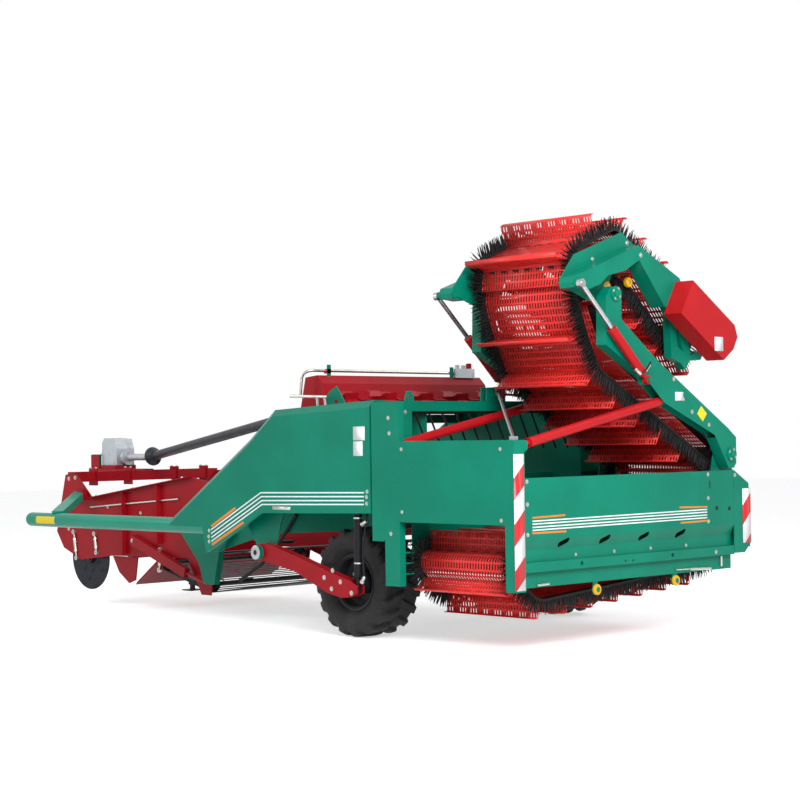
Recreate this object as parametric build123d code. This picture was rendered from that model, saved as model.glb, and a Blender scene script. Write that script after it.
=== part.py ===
from build123d import *
from math import atan2, ceil, cos, degrees, hypot, pi, radians, sin, tan
import os

# Potato harvester with a folding side elevator, parked with the elevator over the machine.
# All lengths are millimetres. Working frame: X forwards, Y to the left, Z up, with X = 0 at the
# wheel axle, Y = 0 at the middle of the digging web and Z = 0 on the ground. The finished
# nodes are moved so that the origin is under the middle of the whole machine.
# Points of the elevator are given in the rear view as (s, z), with s to the right, so s = -Y.

# Driving dimensions
TRACK_HALF = 1160        # wheel centre plane from the middle
TYRE_R = 437
TYRE_W = 404
RIM_R = 205
HUB_R = 70
AXLE_R = 35
COVER_DEPTH = 170
SHEET = 5
WALL_T = 8
FRAME_TOP = 1860
FRAME_REAR = -1950       # rear face of the machine
HEAD_T = 8
FLANGE_W = 60
WEB_HALF = 800           # half the length of a web rod
WEB_PITCH = 50
WEB_ROD = 12
TUBE_R = 66              # guard tube
TUBE_Z = 845
TUBE_TIP = 4375
ELEV_FRONT = -725        # front edge of the elevator belt
ELEV_REAR = -1755        # rear edge of the elevator belt
BELT_T = 8
FLIGHT_H = 120
FLIGHT_T = 8
FOOT_R = 70              # belt's outer radius at the boom hinge
ARM_GAP = 85             # from the belt's edge to an arm's inner face
ARM_W = 96
ARM_WALL = 6
HINGE = (1050, 1403)     # boom hinge
FOLD = (-370, 2637)      # hinge of the end section
LIFT_FOOT = (-1395, 1512)
LIFT_EYE = (470, 1880)
FOLD_FOOT = (-73, 1986)
FOLD_EYE = (-824, 2690)
LIFT_R = 37
LIFT_ROD_R = 25
LIFT_ROD_SHOWS = 290      # from the lift cylinder's gland to its eye at rest
FOLD_R = 36
FOLD_ROD_R = 18
FOLD_ROD_SHOWS = 469
PIN_R = 20
SHAFT_R = 30             # hinge shafts of the boom and its end section
PIN_CLEAR = 0.3
MOVE_GAP = 5             # clearance between pieces that move past each other
BOOM_TURN = 100          # degrees that the boom unfolds
END_TURN = 58            # degrees that the end section folds down
PTO_R = 17.45            # input shaft, 34.9 mm across
LINK_PIN_R = 14.3        # lower link pins, 28.6 mm across
LINK_HALF = 412          # lower link pins from the middle
LINK_X = 4850
LEG_Y = -700

# Widths that follow from the web and the wheels
WALL_Y = WEB_HALF + 130               # outer face of the inner side walls
HEAD_Y = WEB_HALF + 100               # outer face of the head's side plates
ARM_Y = TRACK_HALF + TYRE_W / 2 + 58  # inner face of the wheel arms
ARM_T = 80
COVER_Y = ARM_Y + 120                 # outer face of the side covers
RIGHT_Y = -COVER_Y + 265              # inner face of the right end wall
TUBE_Y = COVER_Y - SHEET - TUBE_R - PIN_CLEAR
WALL_REAR = -TYRE_R - 18

os.makedirs("parts", exist_ok=True)
NODES = {}


def keep(name, *shapes):
    """Adds solids to a node; like pieces on one body share a node and don't touch."""
    NODES.setdefault(name, []).extend(shapes)


def box(x0, x1, y0, y1, z0, z1):
    """Box between two corners."""
    corner = (min(x0, x1), min(y0, y1), min(z0, z1))
    size = (abs(x1 - x0), abs(y1 - y0), abs(z1 - z0))
    return Pos(*corner) * Box(*size, align=(Align.MIN, Align.MIN, Align.MIN))


def side_plate(points, y0, y1):
    """Plate with an outline in X and Z, from y0 to y1."""
    plane = Plane(origin=(0, max(y0, y1), 0), x_dir=(1, 0, 0), z_dir=(0, -1, 0))
    return plane * extrude(make_face(Polyline(*points, close=True)), amount=abs(y1 - y0))


def rear_plate(points, x0, x1):
    """Plate with an outline in the rear view, from x0 to x1."""
    plane = Plane(origin=(max(x0, x1), 0, 0), x_dir=(0, -1, 0), z_dir=(-1, 0, 0))
    return plane * extrude(make_face(Polyline(*points, close=True)), amount=abs(x1 - x0))


def rod(start, end, radius):
    """Round bar from one point to another."""
    a = Vector(*start)
    b = Vector(*end)
    plane = Plane(origin=a, z_dir=b - a)
    return plane * Cylinder(radius, (b - a).length, align=(Align.CENTER, Align.CENTER, Align.MIN))


def beam(start, end, wide, high, side=(0, 1, 0)):
    """Square bar from one point to another; side is the direction of its width."""
    a = Vector(*start)
    b = Vector(*end)
    plane = Plane(origin=a, x_dir=Vector(*side), z_dir=b - a)
    return plane * Box(wide, high, (b - a).length, align=(Align.CENTER, Align.CENTER, Align.MIN))


def boss_x(point, radius, x0, x1):
    """Round boss along X at a point of the rear view."""
    return rod((x0, -point[0], point[1]), (x1, -point[0], point[1]), radius)


def boss_y(x, z, radius, y0, y1):
    """Round boss along Y."""
    return rod((x, y0, z), (x, y1, z), radius)


def arc_points(centre, radius, start_deg, end_deg, steps):
    """Points on an arc, both ends included."""
    turns = [radians(start_deg + (end_deg - start_deg) * i / steps) for i in range(steps + 1)]
    return [(centre[0] + radius * cos(a), centre[1] + radius * sin(a)) for a in turns]


def offset_line(points, amount):
    """The line moved to its left by amount, with mitred corners."""
    out = []
    for i, (a, b) in enumerate(points):
        before = points[max(i - 1, 0)]
        after = points[min(i + 1, len(points) - 1)]
        d0 = (a - before[0], b - before[1]) if i else (after[0] - a, after[1] - b)
        d1 = (after[0] - a, after[1] - b) if i < len(points) - 1 else d0
        n0 = (-d0[1] / hypot(*d0), d0[0] / hypot(*d0))
        n1 = (-d1[1] / hypot(*d1), d1[0] / hypot(*d1))
        mid = (n0[0] + n1[0], n0[1] + n1[1])
        k = 2 * amount / (mid[0] ** 2 + mid[1] ** 2)
        out.append((a + mid[0] * k, b + mid[1] * k))
    return out


def belt(points):
    """Elevator belt along a line of points on its outer face; its inside is to the right."""
    return rear_plate(points + offset_line(points, -BELT_T)[::-1], ELEV_REAR, ELEV_FRONT)


def flights(points, distances):
    """Upright flights at distances along the line of the belt's outer face."""
    out = []
    for distance in distances:
        left = distance
        for a, b in zip(points, points[1:]):
            run = hypot(b[0] - a[0], b[1] - a[1])
            if left <= run:
                break
            left -= run
        d = ((b[0] - a[0]) / run, (b[1] - a[1]) / run)
        n = (-d[1], d[0])
        foot = (a[0] + d[0] * left, a[1] + d[1] * left)
        corners = [(-1, -1), (-1, FLIGHT_H), (1, FLIGHT_H), (1, -1)]
        pts = [(foot[0] + d[0] * i * FLIGHT_T / 2 + n[0] * h,
                foot[1] + d[1] * i * FLIGHT_T / 2 + n[1] * h) for i, h in corners]
        out.append(rear_plate(pts, ELEV_REAR + 40, ELEV_FRONT - 40))
    return out


def roller_r(outer_r, sheet, step):
    """Radius of a roller that fits inside a sheet bent round it in steps of so many degrees."""
    return (outer_r - sheet) * cos(radians(step) / 2) - PIN_CLEAR


def toward(a, b, distance):
    """The point at a distance from a on the way to b."""
    run = hypot(b[0] - a[0], b[1] - a[1])
    return a[0] + (b[0] - a[0]) * distance / run, a[1] + (b[1] - a[1]) * distance / run


def line_length(points):
    return sum(hypot(b[0] - a[0], b[1] - a[1]) for a, b in zip(points, points[1:]))


def pair(shape):
    """The shape at the belt's rear side together with its mirror image at the front side."""
    middle = (ELEV_FRONT + ELEV_REAR) / 2
    return shape, mirror(shape, about=Plane(origin=(middle, 0, 0), z_dir=(1, 0, 0)))


# Side covers: a sheet shell, open towards the machine, with a bevel along its upper edges
COVER = [(WALL_REAR + 5, 1868), (732, 1815), (1059, 1574), (2217, 854), (1650, 848), (1600, 626),
         (852, 975), (WALL_REAR + 5, 999)]
UPPER_EDGES = 3          # edges of the outline that are bevelled, from its first point on
BEVEL = 55
LIP = 30


def inset(points, amounts):
    """Clockwise outline with each edge moved inwards by its own amount."""
    out = []
    for i, (a, b) in enumerate(points):
        before = points[i - 1]
        after = points[(i + 1) % len(points)]
        run0 = hypot(a - before[0], b - before[1])
        run1 = hypot(after[0] - a, after[1] - b)
        n0 = ((b - before[1]) / run0, (before[0] - a) / run0)
        n1 = ((after[1] - b) / run1, (a - after[0]) / run1)
        cross = n0[0] * n1[1] - n0[1] * n1[0]
        da = (amounts[i - 1] * n1[1] - amounts[i] * n0[1]) / cross
        db = (amounts[i] * n0[0] - amounts[i - 1] * n1[0]) / cross
        out.append((a + da, b + db))
    return out


def bevelled(points, depth, bevel):
    """Prism of a clockwise outline with a bevel along its upper outer edges."""
    amounts = [bevel] * UPPER_EDGES + [0] * (len(points) - UPPER_EDGES)
    levels = ((0, points), (depth - bevel, points), (depth, inset(points, amounts)))
    sections = [Pos(0, 0, level) * make_face(Polyline(*line, close=True)) for level, line in levels]
    return loft(sections, ruled=True)


inner = inset(COVER, [SHEET] * len(COVER))
shell = bevelled(COVER, COVER_DEPTH, BEVEL) - bevelled(inner, COVER_DEPTH - SHEET, BEVEL + 2)
cover_right = Plane(origin=(0, COVER_DEPTH - COVER_Y, 0), x_dir=(1, 0, 0), z_dir=(0, -1, 0)) * shell
under = [(WALL_REAR + 25, 1025), (852, 1010), (1580, 662), (1580, 560), (852, 900), (WALL_REAR + 25, 930)]
cover_right = cover_right - side_plate(under, COVER_DEPTH - COVER_Y + 1, LIP - COVER_Y)
tube_mouth = [(1590, 600), (1590, 856), (2190, 862), (2300, 830), (2300, 700), (1700, 700), (1700, 600)]
cover_right = cover_right - side_plate(tube_mouth, COVER_DEPTH - COVER_Y + 1, SHEET - COVER_Y)
cover_left = mirror(cover_right, about=Plane.XZ)
cover_left = cover_left - rod((1500, TUBE_Y, TUBE_Z), (2300, TUBE_Y, TUBE_Z), TUBE_R + PIN_CLEAR)
keep("side_cover_left", cover_left)
keep("side_cover_right", cover_right)

# Guard tube along the left side, with a rounded nose and an arm to the head
tube = rod((1560, TUBE_Y, TUBE_Z), (TUBE_TIP, TUBE_Y, TUBE_Z), TUBE_R)
tube_nose = Pos(TUBE_TIP, TUBE_Y, TUBE_Z) * Sphere(TUBE_R)
tube_arm = beam((3950, TUBE_Y, TUBE_Z + 50), (4400, HEAD_Y, 1070), 70, 110, side=(0, 0, 1))
tube_arm = tube_arm - box(3900, 4700, 0, HEAD_Y + FLANGE_W + PIN_CLEAR, 800, 1200)
keep("guard_tube", tube + tube_nose + tube_arm)

# Inner side walls with the rails that carry the machine
WALL_TOP = 1780
RAIL_TOP = 1850
POST_IN = COVER_Y - 60
STAR = (600, 1880)
FIN = [(480, RAIL_TOP - 1), (760, RAIL_TOP - 1), (700, 1960), (600, 2010), (560, 1960)]
WALL = [(WALL_REAR, 950), (WALL_REAR, WALL_TOP), (1050, WALL_TOP), (2300, 1010), (2300, 560), (1500, 760),
        (700, 800), (330, 800), (320, 540), (200, 540), (190, 800), (-300, 940)]
for name, sign in (("side_wall_left", 1), ("side_wall_right", -1)):
    wall = side_plate(WALL, sign * (WALL_Y - WALL_T), sign * WALL_Y)
    rail = box(WALL_REAR, 760, sign * WALL_Y, sign * (WALL_Y + 70), WALL_TOP, RAIL_TOP)
    rail = rail + box(WALL_REAR, 760, sign * (WALL_Y - WALL_T), sign * WALL_Y, WALL_TOP - 1, RAIL_TOP)
    lower = box(-300, 1400, sign * (WALL_Y - 1), sign * (WALL_Y + 60), 1060, 1130)
    fin = side_plate(FIN, sign * (WALL_Y - 5), sign * (WALL_Y + 5))
    fin = fin - boss_y(*STAR, 20 + PIN_CLEAR, sign * (WALL_Y - 30), sign * (WALL_Y + 30))
    keep(name, (wall + rail).fuse(lower, fin))

# Crossbeams between the walls, and outriggers that carry the side covers
EAR = [(-50, FRAME_TOP - 1), (-42, 1905), (-20, 1937), (20, 1937), (42, 1905), (50, FRAME_TOP - 1)]
beam_rear = WALL_REAR - 75
top_beam = box(beam_rear, WALL_REAR, -POST_IN, POST_IN, WALL_TOP, FRAME_TOP)
for s in (-1172, 1172):
    ear = [(s + ds, z) for ds, z in EAR]
    eye = boss_x((s, 1895), 16, beam_rear, beam_rear + 30)
    top_beam = top_beam + (rear_plate(ear, beam_rear + 10, beam_rear + 20) - eye)
WINCH = [(-320, FRAME_TOP - 1), (-310, 1970), (-150, 1975), (-90, 1935), (-90, FRAME_TOP - 1)]
for x in (beam_rear + 2, beam_rear + 62):
    top_beam = top_beam + rear_plate(WINCH, x, x + 8)
keep("top_crossbeam", top_beam + boss_x((-170, 1925), 32, beam_rear + 5, beam_rear + 65))

# Curtain of rods under the crossbeam, and the stay from the winch to the corner post
curtain = box(beam_rear + 20, beam_rear + 40, -1000, 1130, WALL_TOP - 16, WALL_TOP)
for i in range(14):
    s = -1098 + 150 * i
    curtain = curtain + rod((beam_rear + 30, -s, WALL_TOP - 10), (beam_rear + 30, -s - 150, 1470), 8)
keep("curtain_rods", curtain)
stay_x = beam_rear - PIN_CLEAR
stay = rod((stay_x - 12, 190, 1926), (-1900, 1486, 1562), 13) + boss_x((-190, 1926), 24, stay_x - 24, stay_x)
keep("stay_strut", stay + box(-1925, -1875, 1465, 1505, 1549, 1575))
wall_in = WALL_Y - WALL_T
for x0, z0 in ((960, 1700), (-120, 1180)):
    keep("crossbeams", box(x0, x0 + 80, -wall_in, wall_in, z0, z0 + 75))
for x0 in (-120, 560):
    for sign in (1, -1):
        keep("crossbeams", box(x0, x0 + 80, sign * WALL_Y, sign * (COVER_Y - SHEET - PIN_CLEAR), 1180, 1255))

# Rear frame
post_a = box(beam_rear - 70, WALL_REAR - 15, POST_IN, COVER_Y, 790, RAIL_TOP)
post_b = box(-770, beam_rear - 80, POST_IN, COVER_Y, 454, RAIL_TOP)
tie = box(beam_rear - 81, beam_rear - 69, POST_IN, COVER_Y, 800, RAIL_TOP)
shelves = [box(-770, beam_rear - 80, POST_IN - 90, POST_IN + 1, z, z + 8) for z in (540, 620, 700)]
CORNER = [(-POST_IN - 1, 1400), (-POST_IN - 1, RAIL_TOP), (-1164, RAIL_TOP), (-1164, 1560), (-1230, 1400)]
corner_plate = rear_plate(CORNER, beam_rear - 6, beam_rear)
keep("rear_frame_right", box(beam_rear, WALL_REAR, -POST_IN, RIGHT_Y + 70, 560, WALL_TOP))
keep("sign_board", box(-1855, -770, COVER_Y - 6, COVER_Y, 940, 1550))
PANEL_IN = FRAME_REAR + 38     # depth of the ledge under the rear panel
LEDGE_TOP = 838
LEDGE_LOW = 757
BEAM_TOP = 670
panel_line = [(FRAME_REAR, 1275), (FRAME_REAR + 6, 1275), (FRAME_REAR + 6, LEDGE_TOP + 2),
              (PANEL_IN + 6, LEDGE_LOW + 2), (PANEL_IN + 6, BEAM_TOP), (PANEL_IN, BEAM_TOP),
              (PANEL_IN, LEDGE_LOW), (FRAME_REAR, LEDGE_TOP)]
panel = side_plate(panel_line, -1054, 1430)
HOLE_R = 20
HOLE_TILT = 20                 # degrees
for s in (-1001, -535, -75, 376):
    ends = toward((s, 798), (s + 40, 798 + 40 * tan(radians(HOLE_TILT))), 40)
    start = (2 * s - ends[0], 2 * 798 - ends[1])
    outline = arc_points(ends, HOLE_R, HOLE_TILT - 90, HOLE_TILT + 90, 5)
    outline += arc_points(start, HOLE_R, HOLE_TILT + 90, HOLE_TILT + 270, 5)
    panel = panel - rear_plate(outline, FRAME_REAR - 1, PANEL_IN + 10)
keep("rear_panel", panel)
back_beam = box(FRAME_REAR, FRAME_REAR + 80, -1050, 1430, 600, BEAM_TOP)
back_beam = back_beam + box(PANEL_IN, PANEL_IN + 6, -1050, 1430, 487, 601)
for s in (-822, 253):
    back_beam = back_beam - boss_x((s, 634), 17, FRAME_REAR - 1, FRAME_REAR + 30)
keep("rear_beam", back_beam)
END_PLATE = [(1056, 1279), (1258, 1165), (1275, 679), (1194, 609), (1056, 609)]
end_wall = box(FRAME_REAR + 7, -530, RIGHT_Y, RIGHT_Y + 6, 650, 1130)
keep("right_end_wall", rear_plate(END_PLATE, FRAME_REAR, FRAME_REAR + 8) + end_wall)

# Trough walls beside the lower belt, with the brackets of the boom hinge
TROUGH = [(-1300, 610), (-1300, 1100), (880, 1100), (970, 1460), (1130, 1460), (1269, 1130), (1269, 610)]
trough_in = ELEV_REAR - 65
trough = rear_plate(TROUGH, trough_in - 8, trough_in)
trough = trough + boss_x(HINGE, 55, trough_in - 8, trough_in + 12)
trough = trough - boss_x(HINGE, SHAFT_R + PIN_CLEAR, trough_in - 9, trough_in + 13)
trough_rear, trough_front = pair(trough)
ties = [box(FRAME_REAR + 6, trough_in - 8, y, y + 8, LEDGE_TOP + 6, 1080) for y in (-1040, 0, 1290)]
for tie_plate in ties:
    trough_rear = trough_rear + tie_plate
keep("trough_wall_rear", trough_rear)
keep("trough_wall_front", trough_front)
keep("trough_beams", *[box(trough_in, ELEV_FRONT + 65, y, y + 60, z, z + 60)
                       for y, z in ((1230, 1010), (560, 1010), (-190, 1010), (1000, 630), (-1050, 640))])

# Boom arms: hollow box beams with a slot for the lift rods
ARM = [(-300, 2660), (-304, 2446), (116, 2145), (1015, 1613), (1121, 1538), (1118, 1330), (1085, 1292),
       (1015, 1292), (840, 1559), (202, 1815), (-20, 2002), (-490, 2249), (-480, 2612), (-420, 2690)]
SLOT = [(-25, 1985), (0, 2010), (215, 1835), (835, 1585), (860, 1540), (790, 1490), (150, 1730), (-40, 1930)]
WINDOW = [(430, 1930), (470, 1990), (760, 1810), (730, 1760)]
arm_in = ELEV_REAR - ARM_GAP
arm_out = arm_in - ARM_W
arm = rear_plate(ARM, arm_out, arm_in)
arm_face = make_face(Polyline(*[(arm_out + ARM_WALL, -s, z) for s, z in ARM], close=True))
arm_face = offset(arm_face, amount=-ARM_WALL)
arm = arm - extrude(arm_face, amount=ARM_W - 2 * ARM_WALL, dir=(1, 0, 0))
for opening in (SLOT, WINDOW):
    arm = arm - rear_plate(opening, arm_out + ARM_WALL, arm_in - ARM_WALL)
for centre in (HINGE, FOLD):
    arm = arm - boss_x(centre, SHAFT_R + PIN_CLEAR, arm_out - 1, arm_in + 1)
for x in (arm_out, arm_in):
    arm = arm + boss_x(LIFT_EYE, 34, x - 5, x + 5)
FOOT_LUG = [(-160, 2080), (-10, 2010), (-35, 1962), (-73, 1946), (-111, 1962)]
arm = arm + rear_plate(FOOT_LUG, arm_out - 4, arm_out + ARM_WALL)
arm = arm + boss_x(FOLD_FOOT, PIN_R, arm_out - 90, arm_out + 1)
arm_rear, arm_front = pair(arm)
keep("boom_arm_rear", arm_rear)
keep("boom_arm_front", arm_front)

# Boom belt: return run, round foot at the hinge, carrying run, knee
BEND = (-356, 2080)
UPPER = (-496, 2354)
KNEE_R = 219
foot_start = degrees(atan2(2142 - HINGE[1], -292 - HINGE[0])) + 90
foot = arc_points(HINGE, FOOT_R, foot_start - 180, foot_start - 360, 10)
boom_line = [(-395, 2560), (-255, 2250)] + foot + [BEND, UPPER] + arc_points(FOLD, KNEE_R, 201, 155, 4)
BOOM_FLIGHTS = (520, 820, 1120, 1420, 1720, 2440, 2740, 3040, 3340, 3650, 3960)
boom_flights = flights(boom_line, BOOM_FLIGHTS)
boom_belt = belt(boom_line)
for one in boom_flights:
    boom_belt = boom_belt + one
keep("boom_belt", boom_belt)
mid_x = (ELEV_REAR + ELEV_FRONT) / 2
hinge_shafts = [boss_x(centre, SHAFT_R, arm_out, 2 * mid_x - arm_out) for centre in (HINGE, FOLD)]
foot_roller = boss_x(HINGE, roller_r(FOOT_R, BELT_T, 18), ELEV_REAR, ELEV_FRONT)
sector = arc_points(FOLD, roller_r(KNEE_R, BELT_T, 11.5), 200, 156, 4) + [(FOLD[0] + 20, FOLD[1])]
knee = [rear_plate(sector, x - 15, x + 15) for x in (ELEV_REAR + 60, mid_x, ELEV_FRONT - 60)]
keep("boom_rollers", hinge_shafts[0] + foot_roller, hinge_shafts[1].fuse(*knee))

# End section: plates with an L-shaped beam, belt, drive cover
END = [(-860, 2700), (-838, 2745), (-682, 2927), (-128, 3128), (416, 2791), (473, 2688), (436, 2608),
       (225, 2558), (-78, 2906), (-241, 2820), (-300, 2700), (-310, 2600), (-529, 2585)]
L_BEAM = [(-860, 2700), (-838, 2745), (-600, 2830), (-83, 3018), (416, 2791), (473, 2688), (436, 2608),
          (225, 2558), (-78, 2906), (-241, 2820), (-455, 2769), (-540, 2700), (-700, 2650), (-850, 2665)]
end_in = ELEV_REAR - 40
end_t = 10
end = rear_plate(END, end_in - end_t, end_in)
l_in = end_in - end_t
end = end + rear_plate(L_BEAM, arm_out, l_in)
end = end - boss_x(FOLD, SHAFT_R + PIN_CLEAR, end_in - 60, end_in + 1)
fold_x = arm_out - 50
end = end + boss_x(FOLD_EYE, PIN_R + 6, fold_x + 26 + PIN_CLEAR, end_in - 1)
nose = (660, 2330)
NOSE_R = 130
CARRIER = [(376, 2445), (437, 2447), (475, 2255), (540, 2223), (495, 2358), (557, 2375), (620, 2250),
           (637, 2190), (764, 2236), (801, 2213), (760, 2160), (620, 2150), (560, 2080), (501, 2132),
           (390, 2170)]
ARM_LINK = [(300, 2640), (380, 2500), (376, 2400), (440, 2400), (560, 2330), (660, 2300), (740, 2330),
            (760, 2400), (520, 2560), (436, 2640)]
end = end + rear_plate(ARM_LINK, end_in - end_t, end_in) + rear_plate(CARRIER, end_in - 70, end_in)
end_rear, end_front = pair(end)
keep("end_plate_rear", end_rear)
keep("end_plate_front", end_front)
return_dir = degrees(atan2(2184 - 2717, 613 - 30))
nose_arc = arc_points(nose, NOSE_R, return_dir - 90 + 360, 402, 12)
end_line = [(-632, 2709), (-605, 2960), (-135, 3158), (430, 2825)] + nose_arc[::-1]
end_line += [(30, 2717), (-215, 2830), (-318, 2740)]
END_FLIGHTS = (180, 560, 830, 1110, 1400, 1640, 2150, 2450, 2750)
end_belt = belt(end_line)
for one in flights(end_line, END_FLIGHTS):
    end_belt = end_belt + one
keep("end_belt", end_belt)
COVER_BOX = [(366, 2760), (895, 2428), (930, 2334), (872, 2236), (745, 2149), (210, 2500)]
keep("drive_cover", rear_plate(COVER_BOX, arm_out - PIN_CLEAR, arm_out - 170))
keep("end_roller", boss_x(nose, roller_r(NOSE_R, BELT_T, 14.6), ELEV_REAR, ELEV_FRONT)
     + boss_x(nose, 25, end_in + PIN_CLEAR, 2 * mid_x - end_in - PIN_CLEAR))

# Lower belt
lower_line = [(1135, 1335), (1135, 760), (1040, 580), (900, 520), (-1050, 370), (-1140, 410), (-1330, 560),
              (-1350, 640), (-1320, 700), (-1260, 720), (640, 720), (860, 820), (965, 1000), (965, 1335)]
lower = belt(lower_line)
LOWER_ROLLERS = [(-1262, 632, 74.5), (1057, 790, 70)]
LOWER_FLIGHTS = [160 + 300 * i for i in range(20)]
for one in flights(lower_line, LOWER_FLIGHTS):
    lower = lower + one
keep("lower_belt", lower)
for s, z, r in LOWER_ROLLERS:
    shaft = boss_x((s, z), 25, trough_in + PIN_CLEAR, 2 * mid_x - trough_in - PIN_CLEAR)
    keep("lower_rollers", shaft + boss_x((s, z), r - PIN_CLEAR, ELEV_REAR, ELEV_FRONT))


# Cylinders
def turned(point, centre, deg):
    """A point of the rear view turned anticlockwise about a centre."""
    a = radians(deg)
    ds = point[0] - centre[0]
    dz = point[1] - centre[1]
    return centre[0] + ds * cos(a) - dz * sin(a), centre[1] + ds * sin(a) + dz * cos(a)


def gap(a, b):
    return hypot(b[0] - a[0], b[1] - a[1])


def cylinder(foot_pt, eye_pt, x, barrel_r, rod_r, rod_shows, eye_r, far_eye):
    """Barrel and rod of a cylinder whose eye moves to far_eye. The foot's eye is open for its pin;
    the rod's eye has a pin of its own, because the linkage is opened there."""
    barrel_len = gap(foot_pt, eye_pt) - rod_shows
    out = max(0, gap(foot_pt, far_eye) - gap(foot_pt, eye_pt))
    back = max(0, gap(foot_pt, eye_pt) - gap(foot_pt, far_eye))
    gland = toward(foot_pt, eye_pt, barrel_len)
    start = toward(foot_pt, eye_pt, eye_r + 45)
    bottom = barrel_len - GUIDE - out - back
    inside = toward(foot_pt, eye_pt, bottom)
    last = toward(foot_pt, eye_pt, hypot(eye_pt[0] - foot_pt[0], eye_pt[1] - foot_pt[1]) - eye_r + 4)
    at = lambda p: (x, -p[0], p[1])
    barrel = rod(at(start), at(gland), barrel_r) - rod(at(inside), at(gland), rod_r + PIN_CLEAR)
    barrel = barrel + rod(at(foot_pt), at(start), 18) + boss_x(foot_pt, eye_r, x - 20, x + 20)
    barrel = barrel - boss_x(foot_pt, PIN_R + PIN_CLEAR, x - 21, x + 21)
    piston = rod(at(toward(foot_pt, eye_pt, bottom + back + 1)), at(last), rod_r)
    piston = piston + boss_x(eye_pt, eye_r, x - 20, x + 20) + boss_x(eye_pt, PIN_R, x - 26, x + 26)
    return barrel, piston


GUIDE = 60               # length of rod that stays in its barrel
lift_x = (arm_in + arm_out) / 2
lift_far = turned(LIFT_EYE, HINGE, -BOOM_TURN)
barrel, piston = cylinder(LIFT_FOOT, LIFT_EYE, lift_x, LIFT_R, LIFT_ROD_R, LIFT_ROD_SHOWS, 34, lift_far)
keep("lift_barrels", *pair(barrel))
keep("lift_rods", *pair(piston))
fold_far = turned(FOLD_EYE, FOLD, END_TURN)
barrel, piston = cylinder(FOLD_FOOT, FOLD_EYE, fold_x, FOLD_R, FOLD_ROD_R, FOLD_ROD_SHOWS, 32, fold_far)
keep("fold_barrels", *pair(barrel))
keep("fold_rods", *pair(piston))
LUG = [(-1430, 1440), (-1430, 1530), (-1415, 1545), (-1375, 1545), (-1360, 1530), (-1360, 1480)]
lug = rear_plate(LUG, lift_x - 32, lift_x - 24) + rear_plate(LUG, lift_x + 24, lift_x + 32)
lug = lug.fuse(boss_x(LIFT_FOOT, PIN_R, lift_x - 32, lift_x + 32))
lug_rear, lug_front = pair(lug)
lug_seat = box(-625, -560, 1429, POST_IN + 1, 1440, 1545)
keep("rear_frame_left", (lug_front + lug_seat + post_a + post_b + tie + corner_plate).fuse(*shelves))
corner = box(FRAME_REAR, -1855, 1430, COVER_Y, 465, 1549)
keep("corner_post", corner + lug_rear)

# Wheels: a ring of flat sides with slanted lugs, each half a step from the one across
TYRE_SIDES = 32
TREAD_R = TYRE_R - 28
TYRE_RINGS = [(-1, TYRE_R * 0.8), (-0.92, TREAD_R * 0.96), (-0.7, TREAD_R), (0.7, TREAD_R),
              (0.92, TREAD_R * 0.96), (1, TYRE_R * 0.8)]
LUGS = 17
LUG_W = 52
LUG_LONG = 190
LUG_SLANT = 28
LUG_MID = TYRE_W / 2 - 100
LUG_REACH = LUG_W / 2 + LUG_LONG / 2 * sin(radians(LUG_SLANT))
LUG_TOP = (TYRE_R ** 2 - LUG_REACH ** 2) ** 0.5
LUG_FOOT = TREAD_R - 30
for name, sign in (("left", 1), ("right", -1)):
    y = sign * TRACK_HALF
    shoulder = TYRE_W / 2
    middle = Plane(origin=(0, y, TYRE_R), x_dir=(1, 0, 0), z_dir=(0, -1, 0))
    rings = [middle.offset(w * shoulder) * RegularPolygon(r, TYRE_SIDES) for w, r in TYRE_RINGS]
    tyre = loft(rings, ruled=True) - boss_y(0, TYRE_R, RIM_R, y - TYRE_W, y + TYRE_W)
    lugs = []
    for i in range(2 * LUGS):
        half = 1 if i % 2 else -1
        place = Pos(0, y, TYRE_R) * Rot(0, i * 180 / LUGS, 0)
        place = place * Pos(0, half * LUG_MID, (LUG_TOP + LUG_FOOT) / 2) * Rot(0, 0, half * LUG_SLANT)
        lugs.append(place * Box(LUG_W, LUG_LONG, LUG_TOP - LUG_FOOT))
    keep("tyre_" + name, tyre.fuse(*lugs))
    rim = boss_y(0, TYRE_R, RIM_R - PIN_CLEAR, y - shoulder * 0.7, y + shoulder * 0.7)
    dish_out = boss_y(0, TYRE_R, RIM_R - 12, y + sign * 10, y + sign * shoulder * 0.71)
    dish_in = boss_y(0, TYRE_R, RIM_R - 12, y - sign * 10, y - sign * shoulder * 0.71)
    hub = boss_y(0, TYRE_R, HUB_R, y - sign * 60, y + sign * 190)
    bore = boss_y(0, TYRE_R, AXLE_R + PIN_CLEAR, y - sign * 61, y + sign * 191)
    keep("rim_" + name, rim - dish_out - dish_in + hub - bore)

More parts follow.
